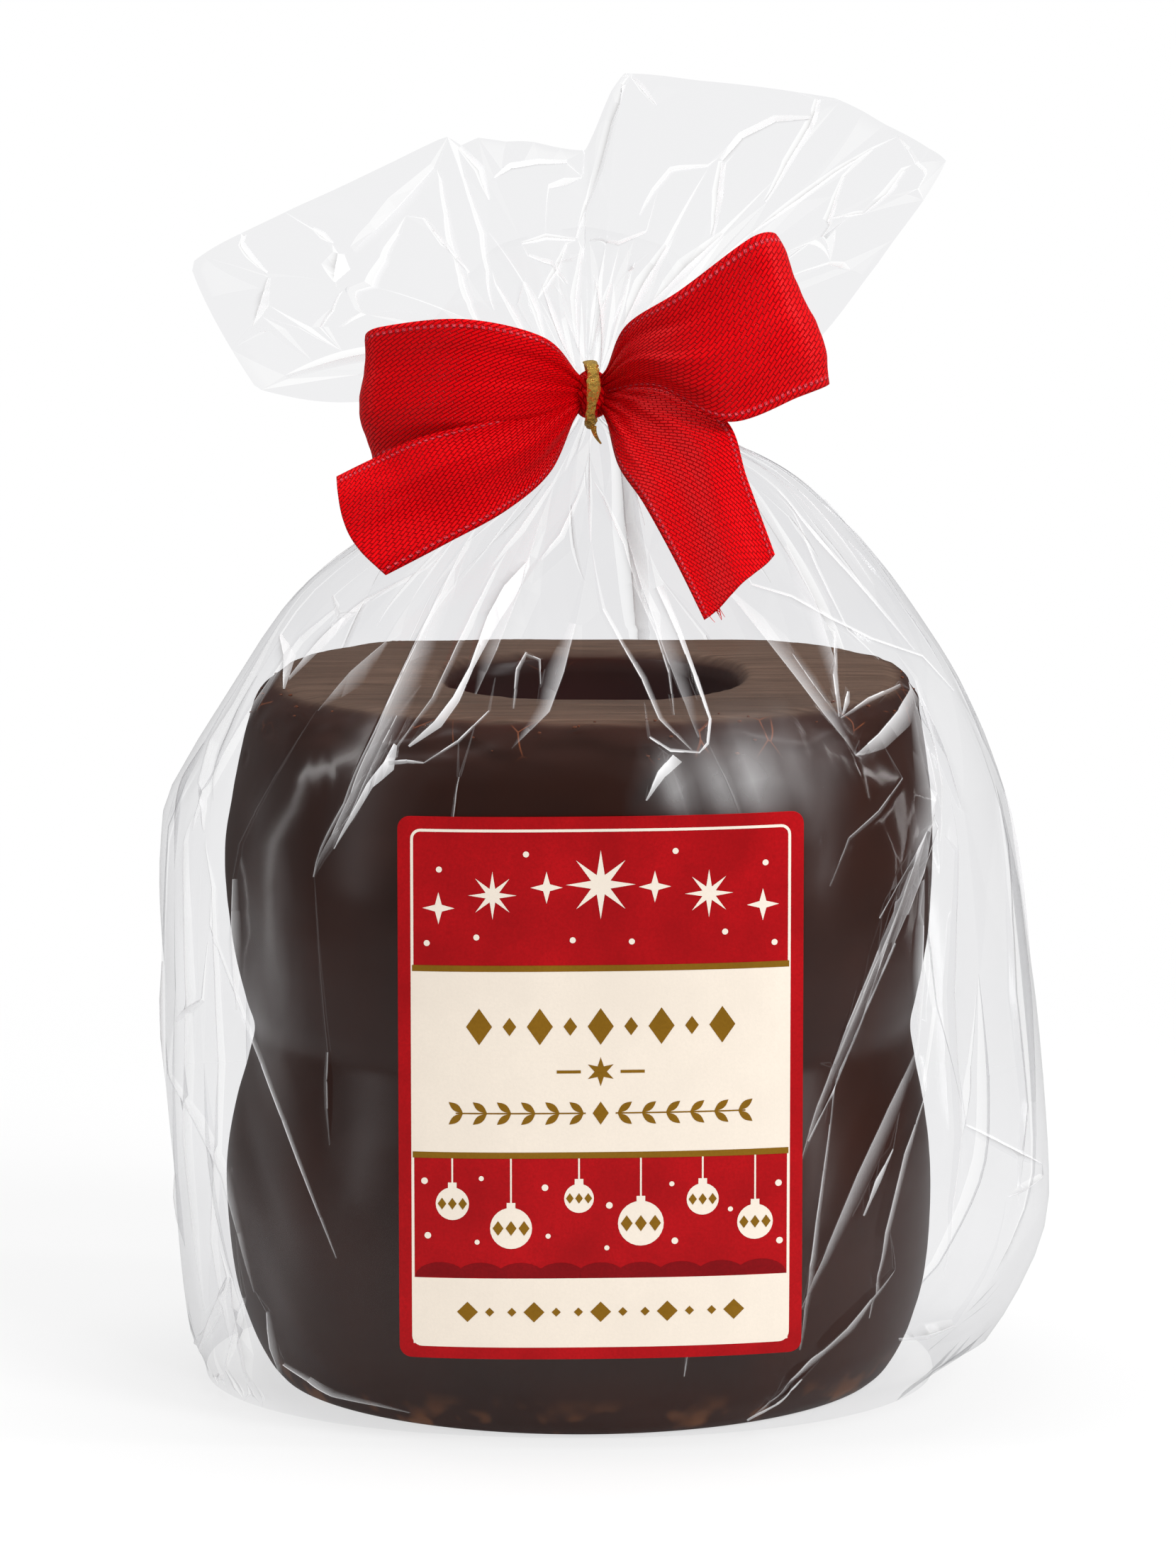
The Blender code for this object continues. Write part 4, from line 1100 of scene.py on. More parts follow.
def label_place(x, z, lift):
    """Places on the label's face for points of its flat artwork, lift millimetres in front of the paper."""
    x, z = np.asarray(x, float), np.asarray(z, float)
    height = LABEL_Z + z + LABEL_TILT * x
    y = bag_front(LABEL_X + x, height) - LABEL_GAP - LABEL_THICKNESS - lift
    return np.stack([LABEL_X + x, y, height], axis=1)


class Print:
    """Flat shapes of one ink, laid on the label's face."""

    def __init__(self, lift):
        self.lift, self.points, self.faces = lift, [], []

    def add(self, spots, faces):
        start = len(self.points)
        self.points += [tuple(s) for s in spots]
        self.faces += [tuple(start + k for k in f) for f in faces]

    def field(self, left, right, low, high, columns=28, rows=6):
        across = [left + (right - left) * i / columns for i in range(columns + 1)]
        spots = [(x, low + (high - low) * j / rows) for j in range(rows + 1) for x in across]
        self.add(spots, grid_faces(rows + 1, columns + 1))

    def fan(self, outline, centre):
        count = len(outline)
        self.add([centre] + list(outline), [(0, 1 + k, 1 + (k + 1) % count) for k in range(count)])

    def disc(self, x, z, radius, sides=20):
        turns = [2 * math.pi * k / sides for k in range(sides)]
        self.fan([(x + radius * math.cos(t), z + radius * math.sin(t)) for t in turns], (x, z))

    def star(self, x, z, long, short, tips):
        outline = []
        for k in range(2 * tips):
            reach = short if k % 2 else long
            turn = math.pi * k / tips + math.pi / 2
            outline.append((x + reach * math.cos(turn), z + reach * math.sin(turn)))
        self.fan(outline, (x, z))

    def leaf(self, x, z, length, width, turn):
        outline = []
        for side in (1, -1):
            for k in range(8):
                along = side * length * (k / 8 - 0.5)
                beside = side * width / 2 * math.sin(math.pi * k / 8)
                across = along * math.cos(turn) - beside * math.sin(turn)
                outline.append((x + across, z + (along * math.sin(turn) + beside * math.cos(turn))))
        self.fan(outline, (x, z))

    def diamond(self, x, z, wide, tall):
        self.fan([(x + wide, z), (x, z + tall), (x - wide, z), (x, z - tall)], (x, z))

    def stroke(self, path, width, closed=False):
        path = np.array(path, float)
        ahead = np.roll(path, -1, axis=0) - np.roll(path, 1, axis=0) if closed else np.gradient(path, axis=0)
        ahead = unit(ahead)
        beside = np.stack([-ahead[:, 1], ahead[:, 0]], axis=1) * width / 2
        spots = np.concatenate([path - beside, path + beside])
        count = len(path)
        steps = range(count if closed else count - 1)
        self.add(spots, [(k, (k + 1) % count, count + (k + 1) % count, count + k) for k in steps])

    def mesh(self, name):
        spots = np.array(self.points)
        return new_mesh(name, label_place(spots[:, 0], spots[:, 1], self.lift), self.faces, smooth=False)


def rounded_frame(half_wide, half_tall, corner):
    """The outline of a rectangle with round corners, with points along its sides too."""
    outline = []
    for turn, (sx, sz) in enumerate(((1, 1), (-1, 1), (-1, -1), (1, -1))):
        for k in range(7):
            angle = math.pi / 2 * (turn + k / 6)
            x = sx * (half_wide - corner) + corner * math.cos(angle)
            outline.append((x, sz * (half_tall - corner) + corner * math.sin(angle)))
        after = ((-1, 1), (-1, -1), (1, -1), (1, 1))[turn]
        x0, z0 = outline[-1]
        nx, nz = after[0] * (half_wide - corner), after[1] * (half_tall - corner)
        angle = math.pi / 2 * (turn + 1)
        x1, z1 = nx + corner * math.cos(angle), nz + corner * math.sin(angle)
        for k in range(1, 24):
            outline.append((x0 + (x1 - x0) * k / 24, z0 + (z1 - z0) * k / 24))
    return outline


def label_paper_mesh():
    """The label's paper: a rounded rectangle with a thin edge, curved to the bag's front."""
    columns, rows = 60, 40
    half_wide, half_tall = LABEL_WIDTH / 2, LABEL_HEIGHT / 2
    spots = []
    for i in range(columns + 1):
        x = -half_wide * math.cos(math.pi * i / columns)
        past = max(0.0, abs(x) - (half_wide - LABEL_CORNER))
        tall = half_tall - (LABEL_CORNER - math.sqrt(max(0.0, LABEL_CORNER**2 - past**2)))
        for j in range(rows + 1):
            spots.append((x, tall * (2 * j / rows - 1)))
    spots = np.array(spots)
    front = label_place(spots[:, 0], spots[:, 1], 0)
    back = front + np.array([0, LABEL_THICKNESS - 0.1, 0])
    grid = grid_faces(columns + 1, rows + 1)
    total, tall = len(front), rows + 1
    edge = [i * tall for i in range(columns + 1)] + [columns * tall + j for j in range(1, tall)]
    edge += [i * tall + rows for i in range(columns - 1, -1, -1)] + [j for j in range(rows - 1, 0, -1)]
    rim = [(a, b, b + total, a + total) for a, b in zip(edge, edge[1:] + edge[:1])]
    faces = np.concatenate([grid[:, ::-1], grid + total, np.array(rim)])
    mesh = new_mesh("label_paper", np.concatenate([front, back]), faces)
    mesh.set_sharp_from_angle(angle=math.radians(40))
    return mesh


def label_prints():
    """The label's printed shapes by ink: cream, gold and dark red. A plain festive pattern without words."""
    cream, gold, dark = Print(PRINT_STEP), Print(2 * PRINT_STEP), Print(PRINT_STEP)
    inner, half_tall = LABEL_WIDTH / 2 - FRAME_INSET[0], LABEL_HEIGHT / 2 - FRAME_INSET[1]
    cream.stroke(rounded_frame(inner, half_tall, FRAME_CORNER), FRAME_WIDTH, closed=True)
    cream.field(-inner, inner, -10.4, 19.6)
    cream.field(-inner, inner, -LABEL_HEIGHT / 2 + 2.4, FOOT_FIELD_TOP)
    gold.field(-inner, inner, *UPPER_RULE, rows=1)
    gold.field(-inner, inner, *LOWER_RULE, rows=1)
    top_stars(cream)
    field_ornament(gold)
    lower_baubles(cream, gold, dark, inner)
    for k in range(-6, 7):
        size = 0.75 if k % 3 else 1.7
        gold.diamond(FOOT_PITCH * k, FOOT_ROW_Z, size, size)
    return {"label_cream": cream, "label_gold": gold, "label_dark": dark}


def top_stars(cream):
    """The top band: one large star between smaller ones on an arc, with dots about them."""
    for k in range(-3, 4):
        x, z = STAR_PITCH * k, STAR_ROW_Z - 0.42 * k * k
        long = STAR_SIZES[0] if k == 0 else STAR_SIZES[1] if k % 2 else STAR_SIZES[2]
        cream.star(x, z, long, long * STAR_WAIST, 4 if k % 2 else 8)
    for x, z in TOP_DOTS:
        cream.disc(x, z, 0.5, DOT_SIDES)


def field_ornament(gold):
    """The cream field: three rows of gold lozenges and leaves about the size of lines of print."""
    for k in range(-4, 5):
        gold.diamond(LOZENGE_PITCH * k, LOZENGE_ROW_Z, *((1.1, 1.5) if k % 2 else (2.1, 3.0)))
    for side in (-1, 1):
        gold.stroke([(side * (3.2 + 1.3 * k), DASH_ROW_Z) for k in range(4)], 0.5)
        gold.stroke([(side * (2.4 + 3.5 * k), LEAF_ROW_Z) for k in range(7)], 0.24)
    gold.star(0, DASH_ROW_Z, 2.4, 1.0, 6)
    for k in range(-6, 7):
        x, z = LEAF_PITCH * k, LEAF_ROW_Z
        if k == 0:
            gold.diamond(x, z, 1.3, 1.9)
            continue
        turn = math.radians(38 if k > 0 else 142)
        for tip in (1, -1):
            gold.leaf(x, z + 0.95 * tip, 2.9, 1.15, tip * turn)


def lower_baubles(cream, gold, dark, inner):
    """The lower red band: round baubles that hang from the gold rule, with dots between and low mounds."""
    for x, drop, radius in BAUBLES:
        top = LOWER_RULE[0] - drop
        cream.stroke([(x, LOWER_RULE[0]), (x, top + radius + 0.5)], 0.28)
        cream.disc(x, top, radius, 28)
        cream.field(x - 0.7, x + 0.7, top + radius - 0.1, top + radius + 0.8, 1, 1)
        for k in (-1, 0, 1):
            gold.diamond(x + 0.62 * radius * k, top, 0.26 * radius, 0.36 * radius)
    for k in range(9):
        wide = 2 * inner / 9 * 0.62
        x = (inner - wide - 0.3) * (k - 4) / 4
        turns = np.linspace(0, math.pi, 15)
        outline = [(x + wide * math.cos(t), FOOT_FIELD_TOP + 2.6 * math.sin(t)) for t in turns]
        dark.fan(outline, (x, -30.8))
    for k, (x, z) in enumerate(LOWER_DOTS):
        cream.disc(x, z, 0.42 if k % 2 else 0.55, DOT_SIDES)


def strip_points(one_edge, other_edge, steps, looped, bulge, seed):
    """A ribbon strip: its points, and for each its place along and across the cloth in millimetres."""
    shares = np.linspace(0, 1, steps + 1)
    one, other = through(one_edge, shares), through(other_edge, shares)
    across = np.linspace(0, 1, STRIP_ROWS + 1)
    ahead = np.gradient(one, axis=0)
    out = unit(np.cross(ahead, other - one))
    from_knot = np.minimum(shares, 1 - shares) * 2 if looped else shares
    arch = 4 * across * (1 - across)
    crown = STRIP_CROWN * ease(0, 0.3, np.minimum(shares, 1 - shares) if looped else shares)
    push = unit(ahead) * (bulge * shares**6)[:, None]
    base = one[:, None] + (other - one)[:, None] * across[None, :, None]
    base = base + (out * crown[:, None] + push)[:, None] * arch[None, :, None]
    wide = np.linalg.norm(other - one, axis=1)
    gather = 0.75 * np.exp(-from_knot / 0.16) + 0.35 * np.exp(-from_knot / 0.5) * (wide / RIBBON_WIDTH)
    drift = 0.5 * np.sin(2 * math.pi * (shares[:, None] * 0.7 + seed))
    waves = np.sin(2 * math.pi * (4.6 * across[None, :] + drift + seed))
    waves = waves + 0.5 * np.sin(2 * math.pi * (8.3 * across[None, :] - 1.3 * drift + 2.7 * seed))
    edge_fade = 1 - (2 * across - 1) ** 6
    lift = gather[:, None] * waves * edge_fade[None, :]
    soft = 0.55 * np.sin(2 * math.pi * (1.2 * across[None, :] + 0.8 * shares[:, None] + seed))
    soft = soft * ease(0.1, 0.5, from_knot)[:, None]
    points = base + out[:, None] * (lift + soft * edge_fade[None, :])[..., None]
    middle = (one + other) / 2
    along = np.concatenate([[0], np.cumsum(np.linalg.norm(np.diff(middle, axis=0), axis=1))])
    cloth_u = np.repeat(along[:, None], STRIP_ROWS + 1, axis=1)
    cloth_v = np.repeat(across[None, :] * RIBBON_WIDTH, steps + 1, axis=0)
    return points.reshape(-1, 3), cloth_u.ravel(), cloth_v.ravel()


def there_and_back(edge, rise):
    """A loop's edge: out along the front, round the fold at its end and back behind to the knot."""
    back = []
    for k, (x, _, z) in enumerate(reversed(edge[:-1])):
        share = (k + 1) / (len(edge) - 1)
        depth = LOOP_BACK_DEPTH + (LOOP_BACK_KNOT - LOOP_BACK_DEPTH) * share
        back.append((x, depth, z + rise * math.sin(math.pi * share)))
    return edge + tuple(back)


def bow_mesh():
    """The bow's ribbon: two loops and two tails as thin strips that gather into the knot."""
    left_top, right_top = (there_and_back(edge, -BACK_RISE) for edge in (LEFT_LOOP_TOP, RIGHT_LOOP_TOP))
    left_low, right_low = (there_and_back(edge, BACK_RISE) for edge in (LEFT_LOOP_BOTTOM, RIGHT_LOOP_BOTTOM))
    strips = (
        (left_top, left_low, LOOP_STEPS, True, 0, 0.13),
        (right_low, right_top, LOOP_STEPS, True, 0, 0.57),
        (LEFT_TAIL_TOP, LEFT_TAIL_BOTTOM, TAIL_STEPS, False, LEFT_END_BULGE, 0.31),
        (RIGHT_TAIL_LEFT, RIGHT_TAIL_RIGHT, TAIL_STEPS, False, RIGHT_END_BULGE, 0.82),
    )
    points, along, across, faces = [], [], [], []
    for one, other, steps, looped, bulge, seed in strips:
        start = sum(len(p) for p in points)
        spots, u, v = strip_points(one, other, steps, looped, bulge, seed)
        points.append(spots)
        along.append(u)
        across.append(v)
        faces.append(grid_faces(steps + 1, STRIP_ROWS + 1) + start)
    mesh = new_mesh("bow", np.concatenate(points), np.concatenate(faces))
    store(mesh, "cloth_along", np.concatenate(along))
    store(mesh, "cloth_across", np.concatenate(across))
    return mesh


def knot_mesh():
    """The gathered middle of the bow: the ribbon bunched into lengthwise folds."""
    rings, around = 40, 120
    points, along, across = [], [], []
    for i in range(rings + 1):
        share = -1 + 2 * i / rings
        thick = math.sqrt(max(0.0, 1 - share**2)) ** 0.8
        for k in range(around):
            turn = 2 * math.pi * k / around
            fold = 1 + (0.10 * math.sin(9 * turn + 1.5 * share) + 0.05 * math.sin(17 * turn - share)) * thick
            points.append(
                (
                    KNOT_CENTRE[0] + share * KNOT_SIZE[0] / 2,
                    KNOT_CENTRE[1] + math.cos(turn) * thick * fold * KNOT_SIZE[1] / 2,
                    KNOT_CENTRE[2] + math.sin(turn) * thick * fold * KNOT_SIZE[2] / 2,
                )
            )
            along.append(share * 4)
            across.append(6 + 12 * k / around)
    mesh = new_mesh("bow_knot", points, grid_faces(rings + 1, around, closed=True))
    store(mesh, "cloth_along", along)
    store(mesh, "cloth_across", across)
    return mesh


def fray_mesh(random):
    """Loose threads at the cut ends of the tails."""
    points, faces = [], []
    ends = ((RIGHT_TAIL_LEFT, RIGHT_TAIL_RIGHT, 9, 2.2), (LEFT_TAIL_TOP, LEFT_TAIL_BOTTOM, 12, 0.9))
    for first, second, count, reach in ends:
        one, other, before = (np.array(p, float) for p in (first[-1], second[-1], first[-2]))
        ahead = (one - before) / np.linalg.norm(one - before)
        for _ in range(count):
            share = random.uniform(0, 0.25) if reach > 2 else random.uniform(0, 1)
            root = one + (other - one) * share - ahead * 0.4
            long = reach * random.uniform(0.4, 1.0)
            lean = np.array([random.uniform(-0.6, 0.6), random.uniform(-0.3, 0.3), random.uniform(-0.6, 0.6)])
            start = len(points)
            for j in range(6):
                t = j / 5
                centre = root + ahead * long * t + lean * long * t * t * 0.7
                for side in range(4):
                    turn = math.pi / 2 * side
                    ring = np.array([math.cos(turn), 0.3 * math.sin(turn), math.sin(turn)])
                    points.append(centre + 0.09 * (1 - 0.5 * t) * ring)
            faces += [tuple(f + start) for f in grid_faces(6, 4, closed=True)]
            faces.append(tuple(start + k for k in (3, 2, 1, 0)))
            faces.append(tuple(start + k for k in (20, 21, 22, 23)))
    mesh = new_mesh("bow_threads", points, faces)
    store(mesh, "cloth_along", np.zeros(len(points)))
    store(mesh, "cloth_across", np.full(len(points), RIBBON_WIDTH / 2))
    return mesh


def square_to(path, guide):
    """Two directions square to a path and to each other; the first is the nearest to the guide."""
    ahead = unit(np.gradient(path, axis=0))
    side = unit(guide - ahead * (ahead @ guide)[:, None])
    return side, np.cross(ahead, side)


def tube(path, radii, sides=10):
    """Points of a tube along a path; radii is its half width across and half thickness."""
    side, up = square_to(path, np.array([1.0, 0.02, 0.01]))
    turns = np.linspace(0, 2 * math.pi, sides, endpoint=False)
    ring = side[:, None] * np.cos(turns)[None, :, None] * radii[:, 0][:, None, None]
    ring = ring + up[:, None] * np.sin(turns)[None, :, None] * radii[:, 1][:, None, None]
    return (path[:, None] + ring).reshape(-1, 3)


def tie_mesh():
    """The gold tie: a crumpled band over the knot, a wire round the neck with its twist, and a curled end."""
    points, faces = [], []

    def add(spots, rows, sides, closed):
        start = sum(len(p) for p in points)
        grid = grid_faces(rows, sides, closed=True) + start
        points.append(spots)
        faces.extend(tuple(f) for f in grid)
        last = start + (rows - 1) * sides
        if closed:
            after = [(k + 1) % sides for k in range(sides)]
            faces.extend((last + k, last + j, start + j, start + k) for k, j in enumerate(after))
        else:
            faces.append(tuple(start + sides - 1 - k for k in range(sides)))
            faces.append(tuple(last + k for k in range(sides)))

    rows, sides = 160, 16
    turn = np.linspace(0, 2 * math.pi, rows, endpoint=False)
    x = NECK_X + 0.35 * np.sin(2 * turn + 0.6)
    y = KNOT_RING_CENTRE_Y - (KNOT_RING_DEPTH + 0.35) * np.cos(turn)
    z = KNOT_Z + (KNOT_RING_HEIGHT + 0.2) * np.sin(turn)
    band = np.stack([x, y, z], axis=1)
    wide = BAND_WIDTH / 2 * (0.80 + 0.20 * np.sin(turn + 0.5) + 0.10 * np.sin(5 * turn))
    thick = 0.34 + 0.10 * np.sin(7 * turn + 1)
    spots = tube(band, np.stack([wide, thick], axis=1), sides)
    spots = spots + 0.16 * np.stack([rough(spots, 0.9, s) for s in (1.2, 4.7, 8.1)], axis=1)
    add(spots, rows, sides, True)
    ring = np.column_stack([circle(turn, NECK_RING_RADIUS, NECK_X), np.full(rows, TIE_Z)])
    spots = tube_round(ring, WIRE_RADIUS)
    add(spots + 0.08 * np.stack([rough(spots, 0.8, s) for s in (2.2, 5.1, 7.3)], axis=1), rows, 10, True)
    for begin in (0, math.pi):
        share = np.linspace(0, 1, 70)
        swing = begin + 2 * math.pi * TWIST_TURNS * share
        x = NECK_X + TWIST_RADIUS * np.cos(swing)
        y = NECK_RING_RADIUS - 0.2 + TWIST_LENGTH * share
        z = TIE_Z - TWIST_DROOP * share**2 + TWIST_RADIUS * np.sin(swing)
        path = np.stack([x, y, z], axis=1)
        add(tube_round(path, 0.5), 70, 10, False)
    share = np.linspace(0, 1, 24)
    x = NECK_X + 0.3 + 1.3 * share**2
    y = KNOT_RING_CENTRE_Y - 0.6 - 0.9 * share
    z = KNOT_Z - KNOT_RING_HEIGHT - 2.9 * share
    curl = np.stack([x, y, z], axis=1)
    add(tube(curl, np.stack([0.55 - 0.4 * share, 0.14 + 0 * share], axis=1), 8), 24, 8, False)
    mesh = new_mesh("gold_tie_foil", np.concatenate(points), faces)
    mesh.set_sharp_from_angle(angle=math.radians(50))
    return mesh


def tube_round(path, radius, sides=10):
    """Points of a round tube along a path."""
    side, up = square_to(path, np.array([0.05, 0.1, 1.0]))
    turns = np.linspace(0, 2 * math.pi, sides, endpoint=False)
    ring = side[:, None] * np.cos(turns)[None, :, None] + up[:, None] * np.sin(turns)[None, :, None]
    return (path[:, None] + ring * radius).reshape(-1, 3)


def node(tree, kind, inputs=(), **settings):
    """Adds a node with its settings; each input is a value or the output that links to it."""
    new = tree.nodes.new(kind)
    for name, value in settings.items():
        setattr(new, name, value)
    for socket, value in dict(inputs).items():
        if isinstance(value, bpy.types.NodeSocket):
            tree.links.new(value, new.inputs[socket])
        else:
            new.inputs[socket].default_value = value
    return new


def start_material(name):
    """An empty node material and its output node."""
    material = bpy.data.materials.new(name)
    material.use_nodes = True
    tree = material.node_tree
    tree.nodes.clear()
    return material, tree, tree.nodes.new("ShaderNodeOutputMaterial")


def rgba(colour):
    """A colour's first three values, with full cover."""
    return (*tuple(colour)[:3], 1.0)


def in_millimetres(tree):
    """The object's own coordinates, in millimetres."""
    place = node(tree, "ShaderNodeTexCoord")
    scaled = node(tree, "ShaderNodeVectorMath", {0: place.outputs["Object"], 1: (1000, 1000, 1000)}, operation="MULTIPLY")
    return scaled.outputs[0]


def film_material(settings):
    """Cast polypropylene film, clear and glossy. Thin and stiff, it keeps crisp creases that turn white, drawn as lines
    that are partly real whitening and partly painted highlight. Its two faces throw back about a tenth of what stands
    before it, so folds flash and flat panes look grey; the panes' tone is also painted lighter or greyer by each
    facet's lean. The folds' flashes are partly painted highlight, a white diffuse and translucent mix on their bright
    flanks and in soft veils, and their far flanks get painted shade, a grey tint."""
    material, tree, output = start_material("Cast polypropylene film, clear")
    crease = crease_lines(tree)
    rim = node(tree, "ShaderNodeLayerWeight", {"Blend": 0.5})
    grazing = node(tree, "ShaderNodeMath", {0: rim.outputs["Facing"], 1: 5.0}, operation="POWER")
    weight = node(tree, "ShaderNodeAttribute", attribute_name="film_weight")
    apart = node(tree, "ShaderNodeMapRange", {"Value": weight.outputs["Fac"], "From Max": 0.3})
    glint = node(tree, "ShaderNodeMapRange", {"Value": grazing.outputs[0], "To Min": settings.mirror, "To Max": 0.2})
    mirror = node(tree, "ShaderNodeMath", {0: glint.outputs[0], 1: apart.outputs[0]}, operation="MULTIPLY")
    # Painted highlight on the folds' bright flanks and painted shade, a grey tint, on their far flanks.
    shine = node(tree, "ShaderNodeAttribute", attribute_name="flank_painted_highlight")
    dark = node(tree, "ShaderNodeAttribute", attribute_name="flank_painted_shade")
    deep = node(tree, "ShaderNodeMath", {0: dark.outputs["Fac"], 1: 2.8}, operation="POWER")
    share = node(tree, "ShaderNodeMath", {0: deep.outputs[0], 1: settings.shade}, operation="MULTIPLY", use_clamp=True)
    toned = node(tree, "ShaderNodeMix", {0: weight.outputs["Fac"], 6: (1, 1, 1, 1), 7: rgba(settings.tint)}, data_type="RGBA")
    seen = node(tree, "ShaderNodeMix", {0: share.outputs[0], 6: toned.outputs[2], 7: rgba(settings.fold)}, data_type="RGBA")
    clear = node(tree, "ShaderNodeBsdfTransparent", {"Color": seen.outputs[2]})
    gloss = node(tree, "ShaderNodeBsdfGlossy", {"Color": (1, 1, 1, 1), "Roughness": settings.roughness})
    sheet = node(tree, "ShaderNodeMixShader", {0: mirror.outputs[0], 1: clear.outputs[0], 2: gloss.outputs[0]})
    # The painted highlight: white diffuse and translucent film, mixed in on bright flanks, crease lines and soft veils.
    white = node(tree, "ShaderNodeBsdfDiffuse", {"Color": (0.95, 0.95, 0.96, 1)})
    glow = node(tree, "ShaderNodeBsdfTranslucent", {"Color": (0.95, 0.95, 0.96, 1)})
    highlight_paint = node(tree, "ShaderNodeMixShader", {0: 0.2, 1: white.outputs[0], 2: glow.outputs[0]})
    veil = node(tree, "ShaderNodeAttribute", attribute_name="soft_veil")
    bright = node(tree, "ShaderNodeMath", {0: shine.outputs["Fac"], 1: 1.25}, operation="POWER")
    edge = node(tree, "ShaderNodeMath", {0: bright.outputs[0], 1: settings.flank, 2: crease}, operation="MULTIPLY_ADD")
    flank = node(tree, "ShaderNodeMath", {0: edge.outputs[0], 1: veil.outputs["Fac"]}, operation="ADD", use_clamp=True)
    film = node(tree, "ShaderNodeMixShader", {0: flank.outputs[0], 1: sheet.outputs[0], 2: highlight_paint.outputs[0]})
    tree.links.new(film.outputs[0], output.inputs["Surface"])
    return material


def crease_lines(tree):
    """How white the crease lines are drawn, partly real whitening and partly painted highlight: 1 on a sharp crease, 0
    a hair's breadth from it.
    """
    distance = node(tree, "ShaderNodeAttribute", attribute_name="fold_distance")
    strength = node(tree, "ShaderNodeAttribute", attribute_name="crease_whitening_and_highlight")
    apart = node(tree, "ShaderNodeSeparateXYZ", {0: distance.outputs["Vector"]})
    strong = node(tree, "ShaderNodeSeparateXYZ", {0: strength.outputs["Vector"]})
    total = None
    for axis in range(3):
        near = node(tree, "ShaderNodeMapRange", {"Value": apart.outputs[axis], "From Min": 0.0, "From Max": 0.17, "To Min": 1.0, "To Max": 0.0}, interpolation_type="SMOOTHSTEP")
        line = node(tree, "ShaderNodeMath", {0: near.outputs[0], 1: strong.outputs[axis]}, operation="MULTIPLY")
        if total is not None:
            line = node(tree, "ShaderNodeMath", {0: total, 1: line.outputs[0]}, operation="MAXIMUM")
        total = line.outputs[0]
    return node(tree, "ShaderNodeMath", {0: total, 1: 0.85}, operation="MULTIPLY").outputs[0]


